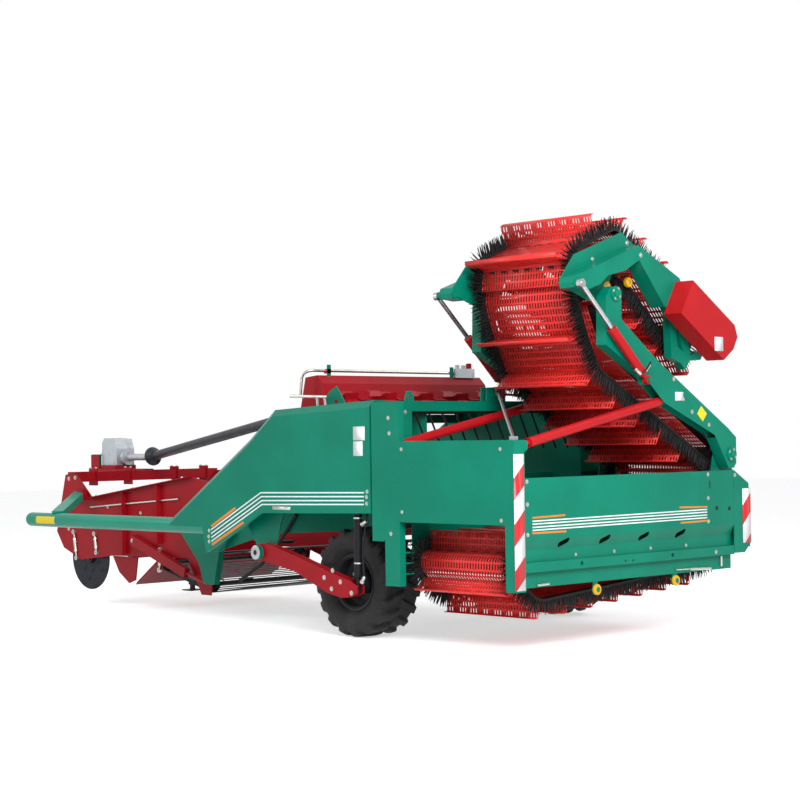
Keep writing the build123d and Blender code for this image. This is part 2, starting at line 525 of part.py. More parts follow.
# Wheel arms with their axle stubs, brackets and height cylinders
ARM_PIVOT = (943, 651)
CLEVIS = (-209, TYRE_R - 40)
GUSSET = [(1330, 1060), (700, 1060), (880, 600), (1000, 590)]
WHEEL_ARM = [(870, 730), (960, 722), (1012, 651), (950, 583), (880, 580), (500, 514), (119, TYRE_R - 73),
             (-60, TYRE_R - 107), (-160, TYRE_R - 97), (-240, TYRE_R - 67), (-240, TYRE_R - 7),
             (-150, TYRE_R + 33), (45, TYRE_R + 81), (477, 635)]
for name, sign in (("left", 1), ("right", -1)):
    a = sign * ARM_Y
    b = sign * (ARM_Y + ARM_T)
    mid = sign * (ARM_Y + ARM_T / 2)
    arm_bar = side_plate(WHEEL_ARM, a, b)
    arm_bar = arm_bar - box(-260, -150, mid - 25, mid + 25, TYRE_R - 137, TYRE_R + 43)
    arm_bar = arm_bar + boss_y(*CLEVIS, 16, a, b)
    arm_bar = arm_bar + boss_y(0, TYRE_R, AXLE_R, sign * (TRACK_HALF - 55), a + sign * 2)
    arm_bar = arm_bar - boss_y(*ARM_PIVOT, 40, a - sign, b + sign)
    keep("wheel_arms", arm_bar)
    plate_in = ARM_Y - 24
    plate = side_plate(GUSSET, sign * plate_in, sign * (plate_in + 16))
    pin = boss_y(*ARM_PIVOT, 40 - PIN_CLEAR, sign * plate_in, b + sign * 15)
    shelf = box(1330, 700, sign * WALL_Y, sign * (plate_in + 1), 1045, 1060)
    keep("arm_brackets", plate + shelf + pin + boss_y(*ARM_PIVOT, 62, b + sign * 4, b + sign * 16))
    foot = (CLEVIS[0] - 1, mid, CLEVIS[1] + 105)
    cyl = rod(foot, (-222, mid, 989), 32)
    cyl = cyl + boss_y(*CLEVIS, 30, mid - 20, mid + 20) + rod((CLEVIS[0], mid, CLEVIS[1] + 3), foot, 16)
    cyl = cyl - boss_y(*CLEVIS, 16 + PIN_CLEAR, mid - 21, mid + 21)
    hanger = box(-262, -182, sign * WALL_Y, b, 990.3, 1060)
    keep("height_cylinders", cyl)
    keep("arm_brackets", hanger)

ROLL_STEP = 0.2          # largest bend of a web's edge belt between two points, in radians


# Webs: steel rods across the machine, joined by a belt at each edge
def wrap(rollers):
    """Outer line round a list of rollers (x, z, r) given anticlockwise, seen from the left with X up."""
    out = []
    for i, (x, z, r) in enumerate(rollers):
        px, pz, pr = rollers[i - 1]
        qx, qz, qr = rollers[(i + 1) % len(rollers)]
        a0 = atan2(z - pz, x - px) - pi / 2 + atan2(pr - r, hypot(x - px, z - pz))
        a1 = atan2(qz - z, qx - x) - pi / 2 + atan2(r - qr, hypot(qx - x, qz - z))
        while a1 < a0:
            a1 += 2 * pi
        steps = max(1, ceil((a1 - a0) / ROLL_STEP))
        out += arc_points((x, z), r, degrees(a0), degrees(a1), steps)
    return out


def web(rollers):
    ring = wrap(rollers)
    closed = ring + ring[:1]
    inner = wrap([(x, z, r - WEB_ROD) for x, z, r in rollers])
    solid = None
    for sign in (1, -1):
        y0 = sign * (WEB_HALF - 10)
        y1 = sign * (WEB_HALF + 45)
        edge = side_plate(ring, y0, y1) - side_plate(inner, y0, y1)
        solid = edge if solid is None else solid + edge
    count = int(line_length(closed) / WEB_PITCH)
    bars = []
    for i in range(count):
        left = line_length(closed) * i / count
        for a, b in zip(closed, closed[1:]):
            run = hypot(b[0] - a[0], b[1] - a[1])
            if left <= run:
                break
            left -= run
        d = ((b[0] - a[0]) / run, (b[1] - a[1]) / run)
        centre = (a[0] + d[0] * left - d[1] * WEB_ROD / 2, a[1] + d[1] * left + d[0] * WEB_ROD / 2)
        hexagon = arc_points(centre, WEB_ROD * 0.42, 0, 300, 5)
        bars.append(side_plate(hexagon, -WEB_HALF, WEB_HALF))
    return solid.fuse(*bars)


DIG_ROLLERS = [(260, 590, 130), (2430, 277, 80), (3120, 440, 70)]
RED_ROLLERS = [(-400, 1000, 90), (240, 850, 90)]
keep("digging_web", web(DIG_ROLLERS))
keep("second_web", web(RED_ROLLERS))
shafts = []
for x, z, r in DIG_ROLLERS + RED_ROLLERS:
    core = boss_y(x, z, roller_r(r, WEB_ROD, degrees(ROLL_STEP)), -WEB_HALF - 40, WEB_HALF + 40)
    reach = HEAD_Y - HEAD_T if x > 2300 else WALL_Y - WALL_T
    shafts.append(core + boss_y(x, z, 25, PIN_CLEAR - reach, reach - PIN_CLEAR))
keep("web_rollers", *shafts)

# Digging head
HEAD_PLATE = [(4669, 1255), (4476, 1261), (4206, 1030), (2617, 1241), (2250, 1180), (2250, 700),
              (2360, 180), (2500, 180), (2700, 500), (3060, 495), (3080, 390), (3160, 390), (3180, 493),
              (3861, 484), (4412, 425), (4710, 533), (4831, 693)]
HEAD_FLANGE = [(4206, 1030), (2617, 1241), (2617, 1249), (4206, 1038)]
for name, sign in (("left", 1), ("right", -1)):
    plate = side_plate(HEAD_PLATE, sign * (HEAD_Y - HEAD_T), sign * HEAD_Y)
    flange = side_plate(HEAD_FLANGE, sign * (HEAD_Y - HEAD_T), sign * (HEAD_Y + FLANGE_W))
    pad = box(4290, 4440, sign * (HEAD_Y - 1), sign * (HEAD_Y + FLANGE_W), 1010, 1110)
    ribs = [box(x, x + 10, sign * (HEAD_Y - 1), sign * (HEAD_Y + 50), low_z, top)
            for x, low_z, top in ((3650, 500, 1095), (3100, 620, 1168))]
    spacer = box(2252, 2298, sign * (HEAD_Y - 1), sign * (wall_in - PIN_CLEAR), 780, 1000)
    stub = boss_y(4300, 450, 20, sign * 832, sign * HEAD_Y)
    keep("head_side_" + name, (plate + flange).fuse(*ribs, spacer, stub, pad))
low_beam = box(4620, 4700, -HEAD_Y + HEAD_T, HEAD_Y - HEAD_T, 560, 650)
link_plates = []
for sign in (1, -1):
    y = sign * LINK_HALF
    cheek = [(4690, 560), (4690, 650), (LINK_X, 650), (LINK_X + 30, 620), (LINK_X + 30, 585), (LINK_X, 560)]
    link_plates.append(side_plate(cheek, y - sign * 45, y - sign * 65))
    link_plates.append(boss_y(LINK_X, 605, LINK_PIN_R, y - sign * 46, y + sign * 45))
keep("hitch_beam", low_beam.fuse(*link_plates))
share = side_plate([(3600, 215), (3560, 250), (3230, 470), (3230, 440)], -840, 840)
SHARE_ARM = [(3900, 480), (3500, 480), (3540, 262), (3640, 230), (3800, 330)]
castings = [side_plate(SHARE_ARM, y, y + 14) for y in (-884, -7, 870)]
share_beam = box(3560, 3640, -HEAD_Y + HEAD_T, HEAD_Y - HEAD_T, 470, 560)
keep("share", share.fuse(*castings, share_beam))

# Gearbox, shaft and rear gearbox
GEARBOX_X = 4920
GEARBOX = [(GEARBOX_X, 1330), (GEARBOX_X, 1500), (4960, 1600), (5140, 1610), (5180, 1560), (5180, 1330)]
gearbox = side_plate(GEARBOX, -110, 110)
gearbox = gearbox + boss_x((0, 1440), 80, 5170, 5210) + boss_x((0, 1411), 80, 4860, GEARBOX_X + 1)
gearbox = gearbox + boss_x((0, 1440), PTO_R, 5209, 5340) + boss_x((0, 1411), 34, 4507, 4861)
keep("gearboxes", gearbox)
bracket = box(4639, 5240, -150, 150, 1230, 1290) + box(GEARBOX_X, 5180, -130, 130, 1289, 1330)
cheeks = [box(5190, 5330, y - 5, y + 5, 1289, 1440) for y in (-140, 140)]
clamps = [box(4515, 4655, y, y + 14, 1140, 1310) for y in (-760, -380, 200, 620)]
tow_beam = box(4530, 4640, -HEAD_Y + HEAD_T, HEAD_Y - HEAD_T, 1180, 1280)
keep("head_beam", tow_beam.fuse(bracket, *cheeks, *clamps, box(5190, 5330, -145, 145, 1250, 1290)))
shaft_front = Vector(4485, 0, 1411)
shaft_rear = Vector(1306, 620, 1815)
shaft = rod(shaft_front, shaft_rear, 45)
bell_axis = Plane(origin=shaft_front, z_dir=shaft_rear - shaft_front)
bell = bell_axis * Cone(60, 95, 60, align=(Align.CENTER, Align.CENTER, Align.MIN))
bell = bell + bell_axis.offset(60) * Cone(95, 50, 60, align=(Align.CENTER, Align.CENTER, Align.MIN))
yoke_front = rod((4507 - PIN_CLEAR, 0, 1411), (4470, 0, 1411), 20)
yoke_rear = rod((1288 + PIN_CLEAR, 620, 1815), (1350, 620, 1815), 20)
keep("drive_shaft", shaft.fuse(bell, yoke_front, yoke_rear))
keep("gearboxes", box(1098, 1288, 540, 700, 1740, 1870) + box(1040, 1110, 560, 680, 1700, 1760))

# Coulter discs and ridge rollers
DISC_R = 310
for name, sign in (("left", 1), ("right", -1)):
    y = sign * 860
    disc = boss_y(4300, 450, DISC_R, y - 4, y + 4) + boss_y(4300, 450, 60, y - 26, y + 26)
    keep("disc_" + name, disc - boss_y(4300, 450, 20 + PIN_CLEAR, y - 30, y + 30))

# Parking leg
leg = box(4700, 4760, LEG_Y - 30, LEG_Y + 30, 60, 1275) + box(4640, 4701, LEG_Y - 30, LEG_Y + 30, 1190, 1260)
foot_plate = box(4650, 4810, LEG_Y - 80, LEG_Y + 80, 0, 12) + box(4710, 4750, LEG_Y - 20, LEG_Y + 20, 10, 70)
keep("parking_leg", leg + foot_plate)

# Hood, star roller and drop legs
HOOD = [(1090, 1780), (1010, 2095), (860, 2110), (790, 2040), (760, 1860), (760, 1780)]
keep("hood", side_plate(HOOD, -1060, 915))
star = boss_y(*STAR, 20, -WALL_Y - 4, WALL_Y + 4)
STAR_PADDLES = 12
paddle = (2 * WALL_Y - 100) / STAR_PADDLES
for k in range(STAR_PADDLES):
    turns = [(i * 30 + k * 20, 95 if i % 2 else 50) for i in range(12)]
    outline = [arc_points(STAR, r, a, a, 1)[0] for a, r in turns]
    y = 50 - WALL_Y + k * paddle
    star = star + side_plate(outline, y, y + paddle)
keep("star_roller", star)
for name, sign in (("left", 1), ("right", -1)):
    LEG_OUT = [(2700, 760), (1950, 760), (2120, 600), (2200, 290), (2350, 290), (2420, 480)]
    drop_leg = side_plate(LEG_OUT, sign * WALL_Y, sign * (WALL_Y + 60))
    keep("drop_legs", drop_leg)
    strut = beam((3522, sign * 925, 650), (2640, sign * 960, 372), 50, 90)
    strut = strut + rod((2660, sign * 960, 378), (2352, sign * 960, 300), 14)
    keep("head_struts", strut - drop_leg - box(2000, 3600, sign * 850, sign * HEAD_Y, 200, 900))

boxes = [shape.bounding_box() for shapes in NODES.values() for shape in shapes]
low = [min(getattr(b.min, k) for b in boxes) for k in "XYZ"]
high = [max(getattr(b.max, k) for b in boxes) for k in "XYZ"]
SHIFT = (-(low[0] + high[0]) / 2, -(low[1] + high[1]) / 2, -low[2])
for name, shapes in NODES.items():
    moved = [shape.translate(Vector(*SHIFT), transform=True) for shape in shapes]
    export_step(moved[0] if len(moved) == 1 else Compound(children=moved), "parts/" + name + ".step")
print(len(NODES), "nodes; size", [round(h - l) for l, h in zip(low, high)], "shift", SHIFT)
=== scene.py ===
# %% [markdown]
# # A potato harvester with a folding side elevator
# The machine is a steel frame that digs two rows, lets the soil fall through webs of steel rods and
# lifts the potatoes with a belt that folds over the machine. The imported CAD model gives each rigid
# piece its place, so this script loads it as a fixed frame, gives every node a finish of its own, and
# adds what a solid can't show: moulded slats with slots, rubber fingers, tyre tread, hoses and bolts.

# %% Load the frame
import math

import bpy
import numpy as np
from mathutils import Matrix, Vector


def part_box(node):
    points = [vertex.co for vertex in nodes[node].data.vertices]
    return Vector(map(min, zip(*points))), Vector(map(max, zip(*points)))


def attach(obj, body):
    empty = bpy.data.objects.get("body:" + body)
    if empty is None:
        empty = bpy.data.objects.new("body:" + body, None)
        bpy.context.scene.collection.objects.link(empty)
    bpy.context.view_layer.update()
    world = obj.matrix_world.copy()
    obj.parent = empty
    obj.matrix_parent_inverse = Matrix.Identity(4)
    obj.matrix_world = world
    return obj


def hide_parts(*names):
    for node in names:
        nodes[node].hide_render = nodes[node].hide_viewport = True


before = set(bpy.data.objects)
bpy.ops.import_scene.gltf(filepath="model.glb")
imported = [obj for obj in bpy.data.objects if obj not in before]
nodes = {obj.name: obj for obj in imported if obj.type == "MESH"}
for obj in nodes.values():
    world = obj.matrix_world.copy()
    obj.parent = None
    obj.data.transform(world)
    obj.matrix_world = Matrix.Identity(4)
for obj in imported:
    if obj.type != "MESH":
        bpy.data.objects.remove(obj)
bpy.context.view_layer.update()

# %% [markdown]
# Lengths below are in metres from the point on the ground midway between the wheels. The packed
# model has its origin under the middle of the whole machine, so one shift carries the first to the
# second. The left tyre tells it: its centre is 1.16 m to the left of that point and 0.437 m up.

# %% One shift for the whole machine
TRACK_HALF, TYRE_R, TYRE_W = 1.16, .437, .404
tyre_low, tyre_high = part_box("tyre_left")
SHIFT = (np.array(tyre_low) + np.array(tyre_high)) / 2 - np.array([0.0, TRACK_HALF, TYRE_R])
print("shift", SHIFT.round(4))

# %% [markdown]
# A mesh here is arrays: points, and faces of three or four corners. Pieces of one finish are put
# together into one object. Each piece keeps a UV in metres, so a pattern has its real size wherever
# the surface turns.

# %% Mesh helpers
AXIS = .0001  # radius of a profile's point on its axis, so that no face is empty


def join(*numbers):
    """Coordinates put side by side: x, y and z become points."""
    return np.stack(np.broadcast_arrays(*numbers), -1)


def unit(v):
    """Vectors divided by their length."""
    v = np.asarray(v, float)
    return v / np.linalg.norm(v, axis=-1, keepdims=True)


def run_of(points):
    """Length along a line up to each of its points."""
    return np.concatenate([[0], np.cumsum(np.linalg.norm(np.diff(points, axis=0), axis=1))])


def shape(points, faces, uv=None):
    """One piece as arrays; uv is one pair per point."""
    points = np.asarray(points, float).reshape(-1, 3)
    uv = np.zeros((len(points), 2)) if uv is None else np.asarray(uv, float).reshape(-1, 2)
    return points, np.asarray(faces, int), uv


def make(name, shapes, material, smooth=30):
    """Joins shapes into an object. Faces are smooth where they meet at less than smooth degrees."""
    starts = np.cumsum([0] + [len(p) for p, f, uv in shapes])
    points = np.concatenate([p for p, f, uv in shapes]) + SHIFT
    loops = np.concatenate([(f + start).ravel() for (p, f, uv), start in zip(shapes, starts)])
    sizes = np.concatenate([np.full(len(f), f.shape[1]) for p, f, uv in shapes])
    mesh = bpy.data.meshes.new(name)
    mesh.vertices.add(len(points))
    mesh.vertices.foreach_set("co", points.ravel())
    mesh.loops.add(len(loops))
    mesh.loops.foreach_set("vertex_index", loops)
    mesh.polygons.add(len(sizes))
    mesh.polygons.foreach_set("loop_start", np.concatenate([[0], np.cumsum(sizes)[:-1]]))
    mesh.update(calc_edges=True)
    layer = mesh.uv_layers.new(name="metres")
    layer.data.foreach_set("uv", np.concatenate([uv[f.ravel()] for p, f, uv in shapes]).ravel())
    mesh.validate()
    if smooth:
        mesh.shade_smooth()
        mesh.set_sharp_from_angle(angle=math.radians(smooth))
    mesh.materials.append(material)
    piece = bpy.data.objects.new(name, mesh)
    bpy.context.scene.collection.objects.link(piece)
    print(name, len(sizes), "faces")
    return piece


def grid(nu, nv, surface, wrap_u=False, wrap_v=False, flip=False):
    """Surface of nu by nv points: surface(i, j) gives the points and the UVs for arrays of their numbers."""
    i, j = np.meshgrid(np.arange(nu), np.arange(nv), indexing="ij")
    points, uv = surface(i, j)
    i, j = (k[:nu if wrap_u else -1, :nv if wrap_v else -1] for k in (i, j))
    corners = [(i + p) % nu * nv + (j + q) % nv for p, q in ((0, 0), (1, 0), (1, 1), (0, 1))]
    faces = join(*corners).reshape(-1, 4)
    return shape(points, faces[:, [0, 3, 2, 1]] if flip else faces, uv)


def sides_of(way):
    """Two directions at right angles to a direction."""
    way = unit(way)
    other = np.array([0.0, 0.0, 1.0]) if abs(way[2]) < .9 else np.array([1.0, 0.0, 0.0])
    one = unit(np.cross(other, way))
    return one, np.cross(way, one)


def lathe(profile, origin, way, sides=24):
    """Profile of (along, radius) pairs turned about a line: origin + along*way + radius*(cos a*one + sin a*two)."""
    profile = np.asarray(profile, float)
    one, two = sides_of(way)
    run = run_of(profile)

    def surface(i, j):
        a = (i * 2 * np.pi / sides)[..., None]
        points = origin + profile[j, :1] * unit(way) + profile[j, 1:] * (np.cos(a) * one + np.sin(a) * two)
        return points, join(a[..., 0] * profile[:, 1].max(), run[j])

    return grid(sides, len(profile), surface, wrap_u=True)


def turned(profile, origin, way, sides=24):
    """Lathe whose profile is closed on the axis at both ends."""
    return lathe([(profile[0][0], AXIS), *profile, (profile[-1][0], AXIS)], origin, way, sides)


def tube(path, radius, sides=12):
    """Round bar along a path. Each ring's direction is the mean of the runs that meet there; the ends are closed."""
    path = np.asarray(path, float)
    runs = unit(np.diff(path, axis=0))
    way = unit(np.concatenate([runs[:1], runs[:-1] + runs[1:], runs[-1:]]))
    one = np.empty_like(way)
    one[0] = sides_of(way[0])[0]
    for k in range(1, len(way)):
        one[k] = unit(one[k - 1] - (one[k - 1] @ way[k]) * way[k])
    two = np.cross(way, one)
    radius = np.broadcast_to(radius, len(path))
    run = run_of(path)

    def surface(i, j):
        a = (j * 2 * np.pi / sides)[..., None]
        points = path[i] + radius[i][..., None] * (np.cos(a) * one[i] + np.sin(a) * two[i])
        return points, join(a[..., 0] * radius.max(), run[i])

    wall = grid(len(path), sides, surface, wrap_v=True, flip=True)
    ring = np.arange(sides)
    after = np.roll(ring, -1)
    fans = [join(ring, 2 * sides, after), join(ring + sides, after + sides, 2 * sides + 1)]
    rims = np.concatenate([wall[0][:sides], wall[0][-sides:], path[[0, -1]]])
    return [wall, shape(rims, np.concatenate(fans))]


def bent(points, radius, steps=6):
    """Path with its corners rounded: each gives way to a quadratic curve through its neighbours."""
    points = np.asarray(points, float)
    t, out = np.linspace(0, 1, steps)[:, None], [points[0]]
    for a, b, c in zip(points, points[1:], points[2:]):
        r = min(radius, np.linalg.norm(a - b) / 2, np.linalg.norm(c - b) / 2)
        p, q = b + unit(a - b) * r, b + unit(c - b) * r
        out.extend((1 - t) ** 2 * p + 2 * t * (1 - t) * b + t ** 2 * q)
    out = np.array(out + [points[-1]])
    return out[np.concatenate([[True], np.diff(run_of(out)) > 1e-5])]


BOX_FACES = np.array([[0, 1, 3, 2], [4, 6, 7, 5], [0, 4, 5, 1], [2, 3, 7, 6], [0, 2, 6, 4], [1, 5, 7, 3]])


def block(low, high):
    """Box between two corners."""
    low, high = np.minimum(low, high), np.maximum(low, high)
    corner = np.array([[x, y, z] for x in (0, 1) for y in (0, 1) for z in (0, 1)], float)
    points = low + corner * (high - low)
    return shape(points, BOX_FACES, points[:, :2])


def copies(piece, places, ways):
    """Copies of a shape whose own axis is Z: each is turned so that Z lies along its way, then moved to its place."""
    points, faces, uv = piece
    places, ways = np.asarray(places, float).reshape(-1, 3), unit(np.asarray(ways, float).reshape(-1, 3))
    other = np.where(np.abs(ways[:, 2:]) < .9, [[0.0, 0.0, 1.0]], [[1.0, 0.0, 0.0]])
    one = unit(np.cross(other, ways))
    basis = np.stack([one, np.cross(ways, one), ways], 1)
    moved = np.einsum("pk,nkj->npj", points, basis) + places[:, None]
    starts = (np.arange(len(places)) * len(points))[:, None, None]
    return shape(moved, (faces + starts).reshape(-1, faces.shape[1]), np.tile(uv, (len(places), 1)))


# %% [markdown]
# A finish is worked out from numbers at each point. Writing the sums as nodes by hand hides them, so
# one small class wraps a socket and lets ordinary signs stand for Math nodes. Colours are mixed, never
# added, because a Math node would turn them grey.

# %% Shader helpers
class Value:
    """A socket that takes part in sums, each sign or word being the Math node of that name."""

    def __init__(self, graph, socket):
        self.graph, self.socket = graph, socket

    def sum(self, operation, *others):
        """One Math node on this value and the others."""
        return self.graph.node("ShaderNodeMath", {"operation": operation}, dict(enumerate([self, *others])))

    def __add__(self, other): return self.sum("ADD", other)
    __radd__ = __add__
    def __sub__(self, other): return self.sum("SUBTRACT", other)
    def __rsub__(self, other): return self * -1 + other
    def __mul__(self, other): return self.sum("MULTIPLY", other)
    __rmul__ = __mul__
    def __truediv__(self, other): return self.sum("DIVIDE", other)
    def __lt__(self, other): return self.sum("LESS_THAN", other)
    def __gt__(self, other): return self.sum("GREATER_THAN", other)
    def absolute(self): return self.sum("ABSOLUTE")
    def fraction(self): return self.sum("FRACT")
    def sine(self): return self.sum("SINE")
    def larger(self, other): return self.sum("MAXIMUM", other)
    def power(self, other): return self.sum("POWER", other)

    def ramp(self, low, high):
        """0 below low, 1 above high, a smooth step between."""
        settings = {"interpolation_type": "SMOOTHSTEP"}
        return self.graph.node("ShaderNodeMapRange", settings, {"Value": self, "From Min": low, "From Max": high})


class Graph:
    """The nodes of a material or of the world."""

    def __init__(self, tree):
        self.tree = tree

    def node(self, kind, settings=None, inputs=None, output=0):
        """A node with its settings made and its inputs fed. What comes back is one of its outputs."""
        made = self.tree.nodes.new(kind)
        for key, value in (settings or {}).items():
            setattr(made, key, value)
        for key, value in (inputs or {}).items():
            self.feed(made.inputs[key], value)
        return Value(self, made.outputs[output])

    def feed(self, socket, value):
        """A socket takes a link from another node, or a plain number or colour."""
        if isinstance(value, Value):
            self.tree.links.new(value.socket, socket)
        else:
            socket.default_value = value

    def where(self, kind="Object"):
        """The point being coloured, in metres, or its UV."""
        return self.node("ShaderNodeTexCoord", output=kind)

    def part(self, vector, axis):
        """One coordinate of a vector."""
        return self.node("ShaderNodeSeparateXYZ", inputs={0: vector}, output=axis)

    def noise(self, scale, detail=3.0):
        """Cloudy noise between 0 and 1, with about scale clouds to a metre."""
        inputs = {"Vector": self.where(), "Scale": scale, "Detail": detail}
        return self.node("ShaderNodeTexNoise", inputs=inputs)

    def mix(self, factor, low, high):
        """Colour from low to high; 0, 6, 7 and 2 are the sockets that a Mix node keeps for colours."""
        return self.node("ShaderNodeMix", {"data_type": "RGBA"}, {0: factor, 6: low, 7: high}, 2)

    def bump(self, height, distance, strength=1.0):
        """A surface's direction, tilted by the slope of a height that is measured in distance."""
        return self.node("ShaderNodeBump", inputs={"Height": height, "Distance": distance, "Strength": strength})


class Finish(Graph):
    """A material, whose nodes end in one shader."""

    def __init__(self, name, **fixed):
        self.material = bpy.data.materials.new(name)
        self.material.use_nodes = True
        super().__init__(self.material.node_tree)
        self.shader = self.tree.nodes["Principled BSDF"]
        self.set(**fixed)

    def set(self, **inputs):
        """Feeds the shader; an underline in a word stands for a space in the socket's name."""
        for key, value in inputs.items():
            self.feed(self.shader.inputs[key.replace("_", " ")], value)


def rgb(red, green, blue):
    """Colour as seen on a screen, 0 to 255, turned into the linear light that a shader needs."""
    c = np.array([red, green, blue]) / 255
    return (*np.where(c <= .04045, c / 12.92, ((c + .055) / 1.055) ** 2.4), 1.0)


def shade(colour, k, add=0.0):
    """Colour with each channel times k, plus add."""
    return (*(channel * k + add for channel in colour[:3]), 1.0)


# %% [markdown]
# Most of the steel is sprayed and baked. Such paint isn't flat: it has a faint orange-peel skin, its
# depth of colour drifts a little from panel to panel, and dust dulls the gloss in patches.

# %% Paint
def paint(name, colour, roughness=.36, coat=.06, dust=.08):
    """Sprayed paint: a broad noise drifts its colour, dust lies where two noises add up, and a fine one bumps it."""
    finish = Finish(name, Coat_Weight=coat, Coat_Roughness=.15, Specular_IOR_Level=.12)
    broad = finish.noise(2.3, 2.0)
    cloud = finish.noise(11.0, 4.0)
    dirt = (broad * .6 + cloud * .4).ramp(.52, .75)
    tone = finish.mix(broad.ramp(.35, .65), shade(colour, .93), shade(colour, 1.06))
    peel, wave = finish.noise(420.0, 2.0), finish.noise(35.0, 1.0)
    finish.set(Base_Color=finish.mix(dirt * dust, tone, shade(colour, .8, .03)),
               Roughness=roughness + dirt * .16 + cloud * .05, Normal=finish.bump(peel * .3 + wave, .0006, .5))
    return finish.material


green_paint = paint("green_paint", rgb(0, 120, 96))
red_paint = paint("red_paint", rgb(152, 14, 26))
bright_red_paint = paint("bright_red_paint", rgb(178, 24, 30))
tube_green = paint("tube_green_paint", rgb(6, 138, 112), roughness=.28, coat=.2)
black_paint = paint("black_paint", rgb(24, 25, 27), roughness=.42)
rim_paint = paint("rim_grey_paint", rgb(44, 46, 50), roughness=.38)
yellow_plastic = paint("yellow_roller_plastic", rgb(222, 166, 20), roughness=.45, coat=.02)
print("paints", len(bpy.data.materials))


# %% [markdown]
# Bare steel parts are of three kinds: rods and blades polished by soil, cylinder rods ground and
# chromed, and small zinc-plated fasteners. Castings are rough and paler. Rubber is the dullest of all:
# it shows dust before it shows light.

# %% Metals and rubber
def metal(name, colour, roughness, grain=90.0, depth=.0004, stain=.25):
    """Bare metal: fine grain in its colour and its gloss, and darker, duller spots."""
    finish = Finish(name, Metallic=1.0)
    fine = finish.noise(grain, 4.0)
    spots = finish.noise(14.0, 5.0).ramp(.5, .72)
    tone = finish.mix(spots * stain, finish.mix(fine, shade(colour, .8), colour), shade(colour, .35))
    finish.set(Base_Color=tone, Roughness=roughness + spots * .2 + fine * .1, Normal=finish.bump(fine, depth, .6))
    return finish.material


def soft(name, colour, roughness=.62, grain=160.0, dust=.25, ribs=0.0):
    """Rubber or plastic. With ribs, bars of that pitch run across its length, as a sine of the UV's second number,
    and the grooves between them are darkened as painted shade.
    """
    finish = Finish(name, Specular_IOR_Level=.3)
    fine = finish.noise(grain, 3.0)
    cloud = finish.noise(9.0, 4.0).ramp(.45, .75)
    grey = (.075, .07, .062, 1.0)
    height = fine * .2
    tone = finish.mix(fine, shade(colour, .75), shade(colour, 1.3))
    if ribs:
        wave = (finish.part(finish.where("UV"), 1) * (2 * math.pi / ribs)).sine().ramp(-.4, .4)
        height = height + wave * 3.0
        # painted shade: the low grooves between the ribs darken to 0.4 of the colour
        tone = finish.mix(wave, shade(colour, .4), tone)
    finish.set(Base_Color=finish.mix(cloud * dust, tone, grey), Roughness=roughness + cloud * .15,
               Normal=finish.bump(height, .002, .5))
    return finish.material


worn_steel = metal("worn_steel", rgb(176, 178, 180), .34)
web_steel = metal("web_steel", rgb(92, 93, 96), .4, stain=.3)
roller_steel = metal("roller_steel", rgb(58, 58, 60), .55, stain=.5)
dark_steel = metal("dark_disc_steel", rgb(46, 48, 54), .46, stain=.4)
chrome = metal("ground_rod", rgb(190, 190, 192), .2, stain=.1, depth=.0001)
zinc = metal("zinc_fastener", rgb(200, 200, 194), .3, stain=.15)
cast = metal("cast_housing", rgb(186, 192, 196), .55, grain=240.0, depth=.0012, stain=.15)
rubber = soft("black_rubber", rgb(19, 19, 20), dust=.12)
belt_rubber = soft("ribbed_belt_rubber", rgb(17, 17, 18), dust=.1, ribs=.036)
tyre_rubber = soft("tyre_rubber", rgb(27, 27, 29), roughness=.66, grain=220.0, dust=.3)
guard_plastic = soft("guard_plastic", rgb(36, 38, 46), roughness=.4, grain=60.0, dust=.1)
white_film = paint("white_film", rgb(228, 232, 235), roughness=.3, coat=.2, dust=.03)
orange_film = paint("orange_film", rgb(226, 128, 44), roughness=.3, coat=.2, dust=.03)
yellow_film = paint("yellow_film", rgb(232, 206, 34), roughness=.3, coat=.2, dust=.03)
print("finishes", len(bpy.data.materials))

# %% [markdown]
# Each node of the CAD model has its own finish. What isn't named below is sheet steel sprayed green.

# %% Finish of every CAD node
FINISHES = [
    (tyre_rubber, "tyre_left tyre_right"),
    (tube_green, "guard_tube"),
    (red_paint, "hood head_side_left head_side_right head_beam hitch_beam head_struts share star_roller second_web "
                "wheel_arms"),
    (bright_red_paint, "lift_barrels lift_rods fold_barrels drive_cover"),
    (black_paint, "height_cylinders parking_leg curtain_rods"),
    (rim_paint, "rim_left rim_right"),
    (worn_steel, "digging_web stay_strut"),
    (roller_steel, "web_rollers lower_rollers boom_rollers end_roller"),
    (dark_steel, "disc_left disc_right"),
    (chrome, "fold_rods"),
    (cast, "gearboxes"),
    (guard_plastic, "drive_shaft"),
    (rubber, "boom_belt end_belt lower_belt"),
]
finish_of = {name: material for material, names in FINISHES for name in names.split()}
for name, node in nodes.items():
    node.data.materials.clear()
    node.data.materials.append(finish_of.get(name, green_paint))
print("finished", len(nodes), "nodes")


def add(name, body, shapes, material, slot, smooth=30, replaces=()):
    """Makes an object from shapes, hangs it on the empty of the body that carries it, and hides the CAD nodes that it
    stands for.
    """
    piece = make(name, shapes, material, smooth)
    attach(piece, body)
    if replaces:
        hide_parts(*replaces)
    return piece


# %% [markdown]
# The elevator's belt is a loop of moulded red slats with rows of slots, carried by a black rubber belt
# along each edge. Every 300 mm a flight stands up and holds the potatoes, and rubber fingers along the
# edges keep them on. Its loop is known from the CAD model as a line in the rear view, in which s runs
# to the machine's right. The slots are a mask in the finish, so thousands of them cost no faces.

# %% The three belt lines
HINGE, FOLD = np.array([1.05, 1.403]), np.array([-.37, 2.637])
BELT_REAR, BELT_FRONT = -1.755, -.725


def arc(centre, radius, start, end, steps):
    """Points on an arc between two angles in degrees."""
    a = np.radians(np.linspace(start, end, steps + 1))
    return [(centre[0] + radius * math.cos(t), centre[1] + radius * math.sin(t)) for t in a]


